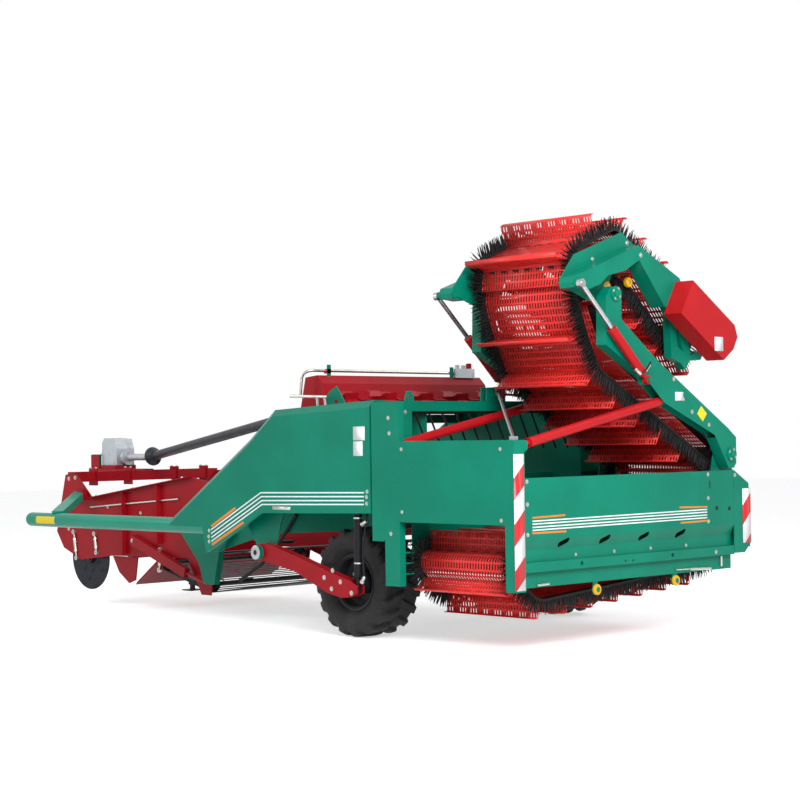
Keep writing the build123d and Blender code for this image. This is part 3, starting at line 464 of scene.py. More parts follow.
foot_turn = math.degrees(math.atan2(2.142 - HINGE[1], -.292 - HINGE[0])) - 90
boom_line = [(-.395, 2.56), (-.255, 2.25)] + arc(HINGE, .07, foot_turn, foot_turn - 180, 10)
boom_line += [(-.356, 2.08), (-.496, 2.354)] + arc(FOLD, .219, 201, 155, 5)
back_turn = math.degrees(math.atan2(2.184 - 2.717, .613 - .03))
end_line = [(-.632, 2.709), (-.605, 2.96), (-.135, 3.158), (.43, 2.825)]
end_line += arc((.66, 2.33), .13, 402, back_turn + 270, 12) + [(.03, 2.717), (-.215, 2.83), (-.318, 2.74)]
lower_line = [(1.135, 1.335), (1.135, .76), (1.04, .58), (.9, .52), (-1.05, .37), (-1.14, .41),
              (-1.33, .56), (-1.35, .64), (-1.32, .7), (-1.26, .72), (.64, .72), (.86, .82),
              (.965, 1.0), (.965, 1.335)]
LINES = {
    "boom": (boom_line, [.52, .82, 1.12, 1.42, 1.72, 2.44, 2.74, 3.04, 3.34, 3.65, 3.96]),
    "end": (end_line, [.18, .56, .83, 1.11, 1.4, 1.64, 2.15, 2.45, 2.75]),
    "lower": (lower_line, list(.16 + .3 * np.arange(20))),
}
HEIGHTS = {"boom": 1.0, "end": 1.0, "lower": .8}


class BeltLine:
    """A belt's line with its length measured along it, so a distance gives a point and the way outwards."""

    def __init__(self, points):
        self.points = bent(points, .05, 5)
        self.at = run_of(self.points)
        self.length = self.at[-1]

    def spot(self, distance):
        """Point at a distance, read between the line's own points."""
        distance = np.clip(distance, 0, self.length)
        return join(*(np.interp(distance, self.at, column) for column in self.points.T))

    def place(self, distance):
        """Point at a distance along the belt, and the direction outwards there."""
        way = unit(self.spot(distance + .012) - self.spot(distance - .012))
        return self.spot(distance), join(-way[..., 1], way[..., 0])

    def solid(self, distance, x, height):
        """Point of the machine at a distance along the belt, at x, and at a height above the belt."""
        base, out = self.place(distance)
        flat = base + out * np.asarray(height)[..., None]
        return join(x, -flat[..., 0], flat[..., 1])


belts = {name: BeltLine(points) for name, (points, flights) in LINES.items()}
print("belt lengths", {name: round(float(line.length), 2) for name, line in belts.items()})


# %% [markdown]
# The slats are moulded in red plastic. A slot is 12 mm wide and 43 mm long, and 28 mm from the next.
# Real holes would cost tens of faces each, so the finish is see-through there instead.

# %% Finish of the slats
SLOT_PITCH, SLOT_ROW, SLOT_R, SLOT_HALF, SLOT_LEAN = .028, .058, .006, .0215, .12
TOP_ROW, GROUP_PITCH, GROUP = .117, .123, .62


def slotted(name, colour):
    """Red moulded plastic with rows of round-ended slots: a slot is where the distance from its middle line is small.
    A flight's top row has its slots in groups. Round each slot the red darkens towards the hole as painted shade."""
    finish = Finish(name, Coat_Weight=.05, Specular_IOR_Level=.3)
    place = finish.where("UV")
    across, along = finish.part(place, 0), finish.part(place, 1)
    v = ((along / SLOT_ROW).fraction() - .5) * SLOT_ROW
    u = (((across + v * SLOT_LEAN) / SLOT_PITCH).fraction() - .5) * SLOT_PITCH
    over = (v.absolute() - (SLOT_HALF - SLOT_R)).larger(0.0)
    gap = (u * u + over * over).power(.5)
    top = (along > TOP_ROW) * (along < TOP_ROW + SLOT_ROW) * ((across / GROUP_PITCH).fraction() > GROUP)
    solid = (gap > SLOT_R).larger(top)
    # painted shade: within 3.5 mm of a slot the red darkens to 0.6 of itself; the same ramp also rounds the rim in
    # the bump
    rim = gap.ramp(SLOT_R, SLOT_R + .0035)
    cloud = finish.noise(7.0, 3.0).ramp(.4, .7)
    tone = finish.mix(cloud * .3, colour, shade(colour, .75))
    finish.set(Base_Color=finish.mix(rim, shade(colour, .6), tone), Alpha=solid, Roughness=.42 + cloud * .12,
               Normal=finish.bump(rim + finish.noise(300.0, 2.0) * .1, .0015, .6))
    return finish.material


slat_red = slotted("slat_red", rgb(224, 50, 46))
print("slat finish", len(slat_red.node_tree.nodes), "shader nodes")

# %% [markdown]
# A slat panel spans two flights. It is a thin sheet over the belt's line, so it is made by carrying its
# width along the line. The flight is a second sheet that rises from it, leans a little, and folds over
# at its tip, with a row of square openings at its foot where the two are joined; the openings are dark
# blocks of painted shade. Thickness comes from Solidify, which keeps the UVs.

# %% Slats and flights
EDGE = .075
FLIGHT_RISE = np.array([0.0, .003, .012, .03, .07, .12, .165, .176, .18])
FLIGHT_LEAN = np.array([-.022, -.012, -.003, 0.0, .002, .003, .005, .012, .04])
FLIGHT_UV = np.array([0.0, .001, .004, .024, .066, .118, .163, .174, .177])
JOINT_COUNT, JOINT_PITCH, JOINT_LONG = 8, .123, .06
JOINTS = BELT_REAR + .085 + JOINT_PITCH * np.arange(JOINT_COUNT)


def carried(line, step, x, height, across, **turns):
    """Profile of x and height carried along the line in steps. Its UV is the distance across and the one along."""
    n = int(line.length / step)

    def surface(i, j):
        distance = j * line.length / (n - 1)
        return line.solid(distance, x[i], height[i]), join(across[i], distance)

    return grid(len(x), n, surface, **turns)


def slat_sheet(line):
    """Sheet over the whole line, between the edge belts."""
    across = np.arange(3) * (BELT_FRONT - BELT_REAR - EDGE * 1.6) / 2
    return carried(line, .03, BELT_REAR + EDGE * .8 + across, np.full(3, .001), across)


def flight_sheet(line, distance, height):
    """Flight: across is x; up it follows a rise and a lean read from two short lists, the last pair being the tip."""
    def surface(i, j):
        x = BELT_REAR + .045 + i * (BELT_FRONT - BELT_REAR - .09)
        base, out = line.place(np.full(j.shape, distance))
        way = join(out[..., 1], -out[..., 0])
        flat = base + out * (FLIGHT_RISE[j] * height + .002)[..., None] + way * FLIGHT_LEAN[j][..., None]
        return join(x, -flat[..., 0], flat[..., 1]), join(i * .94, FLIGHT_UV[j])

    return grid(2, len(FLIGHT_RISE), surface)


def shaded_opening_row(line, distance):
    """Openings at a flight's foot as painted shade: a flat dark block for each, its corners worked out from the
    belt's directions.
    """
    base, out = (pair[0] for pair in line.place(np.array([distance])))
    way = np.array([out[1], -out[0]])
    corner = np.array([[x, w, h] for x in (0, JOINT_LONG) for w in (-.042, -.026) for h in (.001, .0045)])
    flat = base + corner[:, 1:2] * way + corner[:, 2:] * out
    points = join(corner[:, 0], -flat[:, 0], flat[:, 1]) + join(JOINTS, 0, 0)[:, None]
    starts = (np.arange(JOINT_COUNT) * len(corner))[:, None, None]
    return shape(points, (BOX_FACES + starts).reshape(-1, 4))


# %% [markdown]
# The fingers are moulded in one with the edge belts: tapered rubber spikes about 100 mm long, three
# rows deep, none quite straight. One finger of a few faces is made once and copied with arrays.

# %% Fingers and edge belts
FINGER = tube([(0, 0, -.004), (.001, 0, .05), (.005, 0, .1)], np.array([.0062, .005, .0016]), 6)
FINGER_ROWS, FINGER_PITCH = 3, .023
random = np.random.default_rng(7)


def finger_places(line):
    """Places and directions: rows across each edge belt, staggered, each finger leaning a little at random."""
    places, ways = [], []
    for side, inwards in ((BELT_REAR + .01, 1), (BELT_FRONT - .01, -1)):
        for row in range(FINGER_ROWS):
            d = np.arange(.03 + FINGER_PITCH * row / FINGER_ROWS, line.length - .03, FINGER_PITCH)
            x = side + inwards * row * .024
            base, tip = line.solid(d, x, .012), line.solid(d, x, .1)
            lean = random.normal(0, .1, (len(d), 3)) - [inwards * .06 * (1 - row), 0, 0]
            places.append(base)
            ways.append(unit(tip - base) + lean)
    return np.concatenate(places), np.concatenate(ways)


def edge_belt(line, side, inwards):
    """Rubber belt at one edge: a flat rectangle carried along the line."""
    x, height = side + inwards * EDGE * np.array([0, 0, 1, 1]), np.array([-.004, .013, .013, -.004])
    return carried(line, .02, x, height, np.arange(4) * .2 / 3, wrap_u=True, flip=inwards > 0)


for name, body in (("boom", "boom"), ("end", "end_section"), ("lower", "machine")):
    line = belts[name]
    flights = LINES[name][1]
    sheets = [slat_sheet(line)] + [flight_sheet(line, d, HEIGHTS[name]) for d in flights]
    slats = add(name + "_slats", body, sheets, slat_red, "red_plastic", 40, [name + "_belt"])
    wall = slats.modifiers.new("wall", "SOLIDIFY")
    wall.thickness, wall.offset = .005, 0.0
    fingers = [copies(part, *places) for places in [finger_places(line)] for part in FINGER]
    add(name + "_fingers", body, fingers, rubber, "rubber", 40)
    # painted shade: dark blocks where the openings at each flight's foot are
    add(name + "_joints", body, [shaded_opening_row(line, d) for d in flights], rubber, "rubber", 0)
    edges = [edge_belt(line, BELT_REAR, 1), edge_belt(line, BELT_FRONT, -1)]
    add(name + "_edge_belts", body, edges, belt_rubber, "rubber", 40)

# %% [markdown]
# The digging web and the red web behind it are endless: steel rods of 11 mm across the machine, 50 mm
# apart, riveted to a rubber belt at each edge. Each belt runs round its rollers as a rope would, so
# its line is the arcs on the rollers joined by the lines that touch both.

# %% Rod webs
WEB_HALF, WEB_PITCH, WEB_ROD = .8, .05, .012
UP, LEFTWARD = (0, 0, 1), (0, 1, 0)


def wrap(rollers):
    """Closed line round rollers (x, z, radius).
    The tangent's angle is that of the line of centres, less a right angle, plus the turn of a change of radius."""
    def tangent(x, z, r, qx, qz, qr):
        return math.atan2(qz - z, qx - x) - math.pi / 2 + math.atan2(r - qr, math.hypot(qx - x, qz - z))

    out = []
    for i, (x, z, r) in enumerate(rollers):
        a0 = tangent(*rollers[i - 1], x, z, r)
        a1 = tangent(x, z, r, *rollers[(i + 1) % len(rollers)])
        a1 += 2 * math.pi * math.ceil((a0 - a1) / (2 * math.pi))
        a = np.linspace(a0, a1, max(2, math.ceil((a1 - a0) / .12)))
        out.append(join(x + r * np.cos(a), z + r * np.sin(a)))
    return np.concatenate(out)


def along(ring, distances):
    """Points and directions at distances along a closed line."""
    closed = np.concatenate([ring, ring[:1]])
    at, way = run_of(closed), unit(np.diff(closed, axis=0))
    k = np.clip(np.searchsorted(at, distances, "right") - 1, 0, len(way) - 1)
    return closed[k] + way[k] * (distances - at[k])[:, None], way[k]


def web(name, rollers, rod_finish, slot, node):
    """Rods at an even pitch, and two belts whose section is a flat rectangle carried round the line."""
    ring = wrap(rollers)
    length = run_of(np.concatenate([ring, ring[:1]]))[-1]
    count = int(length / WEB_PITCH)
    at, way = along(ring, length * np.arange(count) / count)
    rod_r, end = .0056, AXIS * 2
    rod = lathe([(-WEB_HALF, end), (-WEB_HALF, rod_r), (WEB_HALF, rod_r), (WEB_HALF, end)], (0, 0, 0), UP, 8)
    places = join(at[:, 0] - way[:, 1] * WEB_ROD / 2, 0, at[:, 1] + way[:, 0] * WEB_ROD / 2)
    rods = [copies(rod, places, np.tile(LEFTWARD, (count, 1)))]
    add(name + "_rods", "machine", rods, rod_finish, slot, 40, [node])
    n = int(length / .02)
    at, way = along(ring, length * np.arange(n) / n)
    inward = join(-way[:, 1], way[:, 0])
    edges = []
    for low, high in ((WEB_HALF - .012, WEB_HALF + .045), (-WEB_HALF - .045, .012 - WEB_HALF)):
        y = np.array([low, high, high, low])
        h = np.array([0.0, 0.0, WEB_ROD, WEB_ROD])

        def surface(i, j):
            flat = at[i] + inward[i] * h[j][..., None]
            return join(flat[..., 0], y[j], flat[..., 1]), join(j * .1 / 3, i * length / (n - 1))

        edges.append(grid(n, 4, surface, wrap_u=True, wrap_v=True))
    add(name + "_belts", "machine", edges, belt_rubber, "rubber", 40)


DIG_ROLLERS = [(.26, .59, .13), (2.43, .277, .08), (3.12, .44, .07)]
RED_ROLLERS = [(-.4, 1.0, .09), (.24, .85, .09)]
web("digging_web", DIG_ROLLERS, web_steel, "bare_steel", "digging_web")
web("red_web", RED_ROLLERS, red_paint, "red_paint", "second_web")

# %% [markdown]
# A web hangs on wheels under its edge belts, not on full drums, so soil can fall through. Each shaft
# has a wheel at either end. Its rim is a little inside the belt, and a hub and a thin disc join it to
# the shaft.

# %% Wheels that carry the webs
wheels = []
for x, z, r in DIG_ROLLERS + RED_ROLLERS:
    reach = .89 if x > 2.3 else .92
    rim_r = r - WEB_ROD - .001
    half = [(.03, .018), (.03, .03), (.006, .032), (.006, rim_r - .012), (.022, rim_r - .01),
            (.022, rim_r)]
    profile = [(-along_y, radius) for along_y, radius in half] + half[::-1]
    wheels += tube([(x, -reach, z), (x, reach, z)], .018, 16)
    wheels += [lathe(profile, (x, y, z), LEFTWARD, 32) for y in (-.812, .812)]
add("web_wheels", "machine", wheels, roller_steel, "bare_steel", 35, ["web_rollers"])

# %% [markdown]
# A traction tyre is a ring whose section is round at the shoulders and bulges at the wall. Its lugs
# are bars that run from the middle to the shoulder at a slant, each side half a step behind the other.
# One surface does it all: radius is a function of the angle and of the way across.

# %% Tyres and rims
LUGS, LUG_H = 17, .03
TREAD_R = TYRE_R - LUG_H
TYRE_AROUND, TYRE_ACROSS = 510, 64


def tyre(centre):
    """Round the section from bead to bead by t; the tread's radius grows by the lug's height where the bars are."""
    t = np.linspace(0, 1, TYRE_ACROSS)
    half = TYRE_W / 2 * .985
    key = np.array([0, .05, .13, .24, .31, .36, .5, .64, .69, .76, .87, .95, 1.0])
    w_half = np.array([-.62, -.7, -.9, -1.0, -.97, -.86]) * half
    r_half = np.array([.2, .222, .262, .322, .372, TREAD_R - .006])
    w = np.interp(t, key, np.concatenate([w_half, [0], -w_half[::-1]]))
    r = np.interp(t, key, np.concatenate([r_half, [TREAD_R], r_half[::-1]]))
    blur = np.ones(3) / 3
    w[1:-1], r[1:-1] = np.convolve(w, blur, "valid"), np.convolve(r, blur, "valid")

    def surface(i, j):
        a, width, radius = i * 2 * np.pi / TYRE_AROUND, w[j], r[j]
        side, across = np.sign(width), np.abs(width) / half
        turn = a * LUGS / (2 * np.pi) + np.where(side > 0, .5, 0.0) - across * .62
        phase = np.abs((turn % 1.0) - .5) * 2
        bar = np.clip((.42 + .1 * across - phase) / .1, 0, 1)
        reach = np.clip((across - .02) / .05, 0, 1) * np.clip((radius - .34) / .035, 0, 1)
        radius = radius + LUG_H * bar * reach * np.where(radius > .38, 1, .55)
        width = width + side * (.003 * (np.abs(radius - .285) < .005) + .002 * (np.abs(radius - .245) < .004))
        return np.array(centre) + join(radius * np.cos(a), width, radius * np.sin(a)), join(a * .4, width)

    return grid(TYRE_AROUND, TYRE_ACROSS, surface, wrap_u=True, wrap_v=True)


RIM = [(-.15, .212), (-.15, .224), (-.136, .224), (-.132, .203), (-.09, .198), (-.07, .176),
       (.03, .176), (.05, .198), (.132, .203), (.136, .224), (.15, .224), (.15, .212),
       (.139, .196), (.06, .188), (.04, .166), (.02, .15), (.012, .118), (.01, .095),
       (.06, .088), (.115, .08), (.12, .06), (.12, .036), (-.02, .036), (-.02, .14),
       (-.06, .165), (-.13, .19), (-.15, .212)]
HEX = turned([(0, 1.0), (.42, 1.0), (.5, .93)], (0, 0, 0), UP, 6)
WASHER = turned([(0, 1.45), (.12, 1.45)], (0, 0, 0), UP, 18)
STUB = turned([(.1, .55), (.95, .55), (1.0, .48)], (0, 0, 0), UP, 10)


def nuts(size, places, ways):
    """Hexagons alone, of a radius and height."""
    return copies((HEX[0] * [size[0], size[0], size[1]], HEX[1], HEX[2]), places, ways)


def bolts(name, body, places, ways, size=.01):
    """Hexagon heads on washers, with a stub of thread, each along its way."""
    ways = np.broadcast_to(ways, np.shape(places))
    shapes = [copies((part[0] * size, part[1], part[2]), places, ways) for part in (HEX, WASHER, STUB)]
    return add(name, body, shapes, zinc, "bare_steel", 25)


def evenly(count):
    """Cosines and sines of angles spaced evenly round a circle."""
    a = np.linspace(0, 2 * np.pi, count, endpoint=False)
    return np.cos(a), np.sin(a)


for side, out in (("left", 1), ("right", -1)):
    centre = (0, out * TRACK_HALF, TYRE_R)
    add("tread_" + side, "wheel_" + side, [tyre(centre)], tyre_rubber, "tyre", 38, ["tyre_" + side])
    dish = [lathe(RIM, centre, (0, out, 0), 72)]
    add("dish_" + side, "wheel_" + side, dish, rim_paint, "black_paint", 28, ["rim_" + side])
    cos, sin = evenly(6)
    ring = join(.07 * cos, out * (TRACK_HALF + .119), TYRE_R + .07 * sin)
    bolts("wheel_bolts_" + side, "wheel_" + side, ring, (0, out, 0), .011)

# %% [markdown]
# The covers are dressed with film: four narrow white stripes that bend down with the sheet, and two
# orange ones. A stripe is a ribbon along a line on the panel, standing off it by less than a
# millimetre. Names and pictures are left off, so a label is only a blank patch of its colour.

# %% Stripes, labels and warning boards
COVER_Y = 1.54      # outer face of the covers, the sign board and the rear post
BACK = (-1, 0, 0)
REAR_X = -1.95      # rear face of the rear panel
ARM_X = -1.936      # rear face of the boom's arm and of the end section's beam
FILM = .0008       # how far a stripe stands off its panel


def ribbon(points, width, face):
    """Flat strip along points on a panel whose outward direction is face; the mean direction mitres its corners."""
    points = np.asarray(points, float) + np.asarray(face, float) * FILM
    runs = unit(np.diff(points, axis=0))
    way = unit(np.concatenate([runs[:1], runs[:-1] + runs[1:], runs[-1:]]))
    across = unit(np.cross(np.asarray(face, float), way)) * width / 2
    n = len(points)
    at = np.arange(n - 1)
    both = np.concatenate([points + across, points - across])
    return shape(both, join(at + n, at, at + 1, at + 1 + n), both[:, [0, 2]])


# Each row: a stripe's ends and its bend, as x and height on a cover, and as y and height on the rear panel.
COVER_WHITE = [[(-.381, 1.157), (.864, 1.142), (1.526, .823)], [(-.38, 1.127), (.857, 1.11), (1.527, .79)],
               [(-.38, 1.096), (.85, 1.078), (1.523, .758)], [(-.379, 1.067), (.851, 1.046), (1.524, .726)]]
COVER_ORANGE = [[(1.196, 1.012), (1.521, .851)], [(1.091, .895), (1.518, .697)]]
REAR_WHITE = [[(1.356, z), (-.7, z + .006)] for z in (.966, .945, .922, .901)]
REAR_ORANGE = [[(1.356, .99), (1.002, .996)], [(1.358, .881), (.99, .878)], [(-.348, 1.001), (-.703, .992)],
               [(-.359, .88), (-.699, .883)]]
LABELS = [((-.398, 1.5401, 1.56), (-.266, 1.5412, 1.666)), ((-.372, 1.5401, 1.44), (-.266, 1.5412, 1.552))]
TUBE_Y, TUBE_Z, TUBE_R = float(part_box("guard_tube")[1][1]) - .066, .845, .0668


def stripes(cover_lines, cover_width, rear_lines, rear_width):
    """Ribbons on both covers, the right one's being the left one's with y turned round, and on the rear panel."""
    found = [ribbon([(x, out * COVER_Y, z) for x, z in line], cover_width, (0, out, 0))
             for out in (1, -1) for line in cover_lines]
    return found + [ribbon([(REAR_X, y, z) for y, z in line], rear_width, BACK) for line in rear_lines]


def tube_label(i, j):
    """Patch over 63 degrees of the tube."""
    a = (j / 8 - .5) * 1.1
    points = join(3.91 + .31 * i, TUBE_Y + TUBE_R * np.cos(a), TUBE_Z + TUBE_R * np.sin(a))
    return points, points[..., :2]


white = stripes(COVER_WHITE, .011, REAR_WHITE, .009) + [block(*corners) for corners in LABELS]
orange = stripes(COVER_ORANGE, .021, REAR_ORANGE, .013)
cover_label = block((-2.1075, -.736, 2.219), (-2.1062, -.627, 2.329))
slot_plate = block((.495, 1.5401, 1.008), (.715, 1.5416, 1.034))
arm_label = block((-1.9372, -.455, 1.832), (-1.9362, -.335, 1.9))
boom_label = ribbon([(ARM_X, -.709, 1.699), (ARM_X, -.637, 1.761)], .082, BACK)
add("white_stripes", "machine", white, white_film, "green_paint", 0)
add("orange_stripes", "machine", orange, orange_film, "green_paint", 0)
add("cover_label", "end_section", [cover_label], white_film, "red_paint", 0)
add("slot_plate", "machine", [slot_plate], zinc, "bare_steel", 0)
add("arm_label", "boom", [arm_label], white_film, "green_paint", 0)
add("boom_label", "boom", [boom_label], yellow_film, "green_paint", 0)
add("tube_label", "machine", [grid(2, 9, tube_label, flip=True)], yellow_film, "green_paint", 30)

board_finish = Finish("warning_board", Coat_Weight=.2, Specular_IOR_Level=.3)
place = board_finish.where("UV")
y, z = board_finish.part(place, 0), board_finish.part(place, 1)
red_bar = ((z - (1.551 - y) * .95 - 1.118) / .328).fraction() < .476
board_finish.set(Base_Color=board_finish.mix(red_bar, rgb(232, 232, 232), rgb(206, 24, 36)), Roughness=.4)
boards = []
for low, high, slide in (((-1.955, 1.441, .478), (-1.9505, 1.547, 1.448), 0.0),
                         ((-1.955, -1.276, .684), (-1.9505, -1.169, 1.123), .246)):
    points, faces, uv = block(low, high)
    boards.append(shape(points, faces, points[:, 1:] + [0, slide]))
add("warning_boards", "machine", boards, board_finish.material, "red_paint", 0)

# %% [markdown]
# Bolts hold every sheet. They are places read off the machine, kept in tables by the face that they
# stand on. A head faces outwards, so the side of the machine that its face is on gives its direction.

# %% Bolts of the panels
def face_bolts(name, body, axis, value, size, pairs):
    """Bolts on the face at one value of an axis; a pair gives the two other coordinates, in the order x, y, z."""
    places = np.insert(np.array(pairs, float), axis, value, axis=1)
    bolts("bolts_" + name, body, places, np.sign(value) * np.eye(3)[axis], size)


HEAD_Y = .9      # outer face of the head's side plates
FLANGE_X, FLANGE_Z, FLANGE_FALL = 2.617, 1.2492, .1328  # rear end of its flange, and how much that falls to the front
X, Y, Z = range(3)
BOTH_SIDES = [
    ("cover", COVER_Y, .011, [(-.416, 1.165), (-.408, 1.124), (-.41, 1.073),
                              (1.553, .815), (1.559, .765), (1.555, .723)]),
    ("head", HEAD_Y, .012, [(4.5, .6), (4.62, .72), (3.95, .95), (3.42, .9), (2.42, 1.1), (2.42, .8)]),
]
ONE_SIDE = [
    ("sign", "machine", Y, COVER_Y, .01, [(-.8, 1.488), (-1.819, 1.485), (-.8, 1.017), (-1.819, .975)]),
    ("posts", "machine", Y, COVER_Y, .011, [(-.662, 1.727), (-.671, 1.61), (-.675, .85)]),
    ("head_top", "machine", Y, HEAD_Y, .014, [(4.5, 1.225), (4.61, 1.215)]),
    ("head_struts", "machine", Y, .95, .013, [(3.49, .64)]),
    ("arm", "machine", Y, 1.5, .013, [(.04, .54), (.14, .48), (.055, .395), (-.05, .455), (-.177, .374)]),
    ("arm_right", "machine", Y, -1.5, .013, [(.033, .5), (.144, .487), (.055, .395), (-.033, .453), (-.177, .374)]),
    ("clamps", "machine", Z, 1.311, .012, [(x, y) for x in (4.54, 4.63) for y in (-.753, -.373, .207, .627)]),
    ("corner_plate", "machine", X, -.536, .012, [(1.418, 1.729), (1.237, 1.774)]),
    ("rear", "machine", X, REAR_X, .011, [(1.409, 1.25), (1.407, 1.088), (1.407, .871), (-.717, 1.248),
                                          (-.715, 1.061), (-.714, .877), (-1.073, 1.235), (-.805, .63)]),
    ("ledge", "machine", X, -1.912, .009, [(.847, .7), (.407, .7), (-.028, .7), (-.469, .7)]),
    ("end_plate", "end_section", X, -1.805, .013, [(.475, 2.9), (.064, 3.048), (.337, 2.64)]),
    ("end_beam", "end_section", X, ARM_X, .013, [(.06, 2.945), (-.372, 2.67), (.745, 2.715)]),
    ("boom_arm", "boom", X, ARM_X, .012, [(-.545, 1.745), (-.762, 1.64), (-.32, 2.0)]),
]
for side, out in (("", 1), ("_right", -1)):
    for name, face, size, pairs in BOTH_SIDES:
        face_bolts(name + side, "machine", Y, out * face, size, pairs)
    x = np.array([4.1, 3.816, 3.5, 3.22, 3.033, 2.904, 2.73])
    flange = join(x, out * .93, FLANGE_Z - (x - FLANGE_X) * FLANGE_FALL)
    bolts("bolts_flange" + side, "machine", flange, (.13, 0, 1), .013)
for row in ONE_SIDE:
    face_bolts(*row)

# %% [markdown]
# Small openings are painted shade: black pieces laid on the sheet. They and the hinge pins are discs or rings
# turned about their own axis. A boss shows three things: a washer, a pin's end and a hexagon or a clip.

# %% Pins, washers and openings in painted shade
def disc(place, way, radius, high=.001):
    """A flat disc with a bevelled rim."""
    return turned([(0, radius), (high * .8, radius), (high, radius - high * .2)], place, way)


# painted shade: black discs and one slit stand for holes in the rear panel and the pivots, where there is only shade
dark = [disc((REAR_X - .0002, y, z), BACK, r)
        for y, z, r in ((-.826, .978, .018), (-.993, .969, .018), (.322, .625, .009), (.231, .624, .009))]
dark.append(block((-1.9512, -.747, 1.139), (-1.9502, -.735, 1.198)))
dark += [disc((.977, out * 1.5363, .652), (0, out, 0), .021) for out in (1, -1)]
add("dark_openings", "machine", dark, rubber, "rubber", 30)

washer = [(0, .022), (0, .056), (.006, .058), (.009, .05), (.009, .022)]
washers = [lathe(washer, (.943, out * 1.535, .651), (0, out, 0)) for out in (1, -1)]
add("pivot_washers", "machine", washers, worn_steel, "bare_steel")
cap = [(0, .058), (.014, .056), (.014, .03), (.026, .028)]
turns = (.5, 2.07, 3.64, 5.2)
for name, (s, z) in (("hinge", HINGE), ("fold", FOLD)):
    add(name + "_cap", "boom", [turned(cap, (-1.9365, -s, z), BACK)], green_paint, "green_paint", 28)
    ring = [(-1.9505, -s + .042 * math.cos(t), z + .042 * math.sin(t)) for t in turns]
    bolts(name + "_bolts", "boom", ring, BACK, .008)

# %% [markdown]
# Oil goes from the head of the machine to the cylinders in steel pipes clamped to the wall, and the
# last stretch in hose. Pipes and hoses are bars bent along a path with rounded corners.

# %% Pipes, valve and hoses
pipes = [[(1.11, 1.0, 1.94), (.637, 1.0, 1.922)], [(.767, 1.0, 1.935), (.767, .985, 1.8)],
         [(.67, 1.0, 1.925), (.67, .985, 1.8)],
         [(.98, 1.0, 1.935), (.955, 1.0, 2.12), (.9, .97, 2.152), (.87, .9, 2.15), (.87, -.74, 2.147)]]
pipes = [part for path in pipes for part in tube(bent(path, .06), .013, 14)]
add("oil_pipes", "machine", pipes, zinc, "bare_steel", 40)
knob = [(0, .022), (.03, .022), (.034, .018)]
valve = [block((.835, -.97, 2.105), (.905, -.72, 2.188))] + [turned(knob, (.87, y, 2.188), UP) for y in (-.78, -.86)]
add("valve_block", "machine", valve, cast, "cast_iron")
cap = [(0, .026), (.045, .026), (.05, .02)]
caps = [turned(cap, (.87, -.93, 2.188), UP), block((.85, .765, 2.125), (.89, .81, 2.165))]
add("valve_cap", "machine", caps, bright_red_paint, "red_paint")
stand = [block((.85, y - .02, 1.95), (.858, y + .02, 2.2)) for y in (.787, -.69)]
add("pipe_clamps", "machine", stand, green_paint, "green_paint")


def fitting(place, way, r=.014):
    """Crimped end of a hose: a sleeve, a hexagon nut and a neck."""
    sleeve = [(0, r * .7), (.02, r * .7), (.022, r), (.06, r), (.063, r * .8)]
    return [turned(sleeve, place, way, 18), nuts((r * 1.25, .04), [place], [way])]


def hose(name, body, path, diameter=.014):
    """Rubber hose along a path, with its corners rounded, and a fitting at each end."""
    path = bent(path, .08, 8)
    piece = add(name, body, tube(path, diameter / 2, 12), rubber, "rubber", 50)
    ends = fitting(path[0], path[1] - path[0]) + fitting(path[-1], path[-2] - path[-1])
    end = add(name + "_ends", body, ends, zinc, "bare_steel", 30)
    tuple((path[0] + SHIFT).tolist())
    [tuple(point) for point in (path + SHIFT).tolist()]


collar = [(0, .0322), (0, .036), (.012, .036), (.012, .0322)]
for side, out in (("left", 1), ("right", -1)):
    y = out * 1.46
    hose("lift_hose_" + side, "machine", [(-.262, y, .905), (-.31, y, .93), (-.33, y, 1.05), (-.3, y, 1.18)])
    hose("lower_hose_" + side, "machine", [(-.252, y, .455), (-.285, y, .5), (-.265, y, .66), (-.29, y, .83),
                                           (-.33, y, 1.0), (-.31, y, 1.18)])
    rings = [lathe(collar, (x, y, z), UP) for x, z in ((-.2205, .6), (-.22, .95))]
    add("cylinder_rings_" + side, "machine", rings, zinc, "bare_steel")
hose("fold_hose", "fold_barrel", [(-1.986, .215, 2.07), (-2.01, .18, 2.03), (-2.034, .125, 2.07),
                                  (-2.034, .085, 2.125), (-2.0, .04, 2.12), (-1.95, .045, 2.06)])

# %% [markdown]
# The winch lifts the parking leg's stay, idlers press on the belt from below, and small yellow rollers
# keep the belt's edge at the knee. Each is a short turned profile on a bracket of plate.

# %% Winch, idlers and rollers
FORWARD = (1, 0, 0)
DRUM_Y, DRUM_Z, TEETH = .17, 1.925, 18
hub = [(0, .052), (.012, .052), (.012, .02), (.03, .02)]
gear = turned(hub, (-.556, DRUM_Y, DRUM_Z), FORWARD, 36)
ring = join(0.0, *evenly(TEETH))
teeth = copies(block((-.006, -.007, 0), (.006, .007, .012)), (-.55, DRUM_Y, DRUM_Z) + .05 * ring, ring)
add("winch_gear", "machine", [gear, teeth], zinc, "bare_steel")
lever = tube(bent([(-.55, .16, 1.915), (-.6, .16, 1.912), (-.6, .04, 1.908)], .03), .01, 12)
lever += tube([(-.6, .05, 1.908), (-.6, -.02, 1.906)], .015, 14)
add("winch_lever", "machine", lever, bright_red_paint, "red_paint")
idler_ring = [(0, .018), (0, .036), (.004, .04), (.02, .04), (.024, .036), (.024, .018)]
pin = [(0, .02), (.05, .02)]
idlers = ((.622, .428), (-.325, .434))
rings = [lathe(idler_ring, (-1.932, y, z), FORWARD) for y, z in idlers]
add("idler_rings", "machine", rings, yellow_plastic, "guard_plastic")
brackets = [part for y, z in idlers for part in (
    turned(pin, (-1.935, y, z), FORWARD), block((-1.9065, y - .025, z - .035), (-1.8985, y + .025, .525)))]
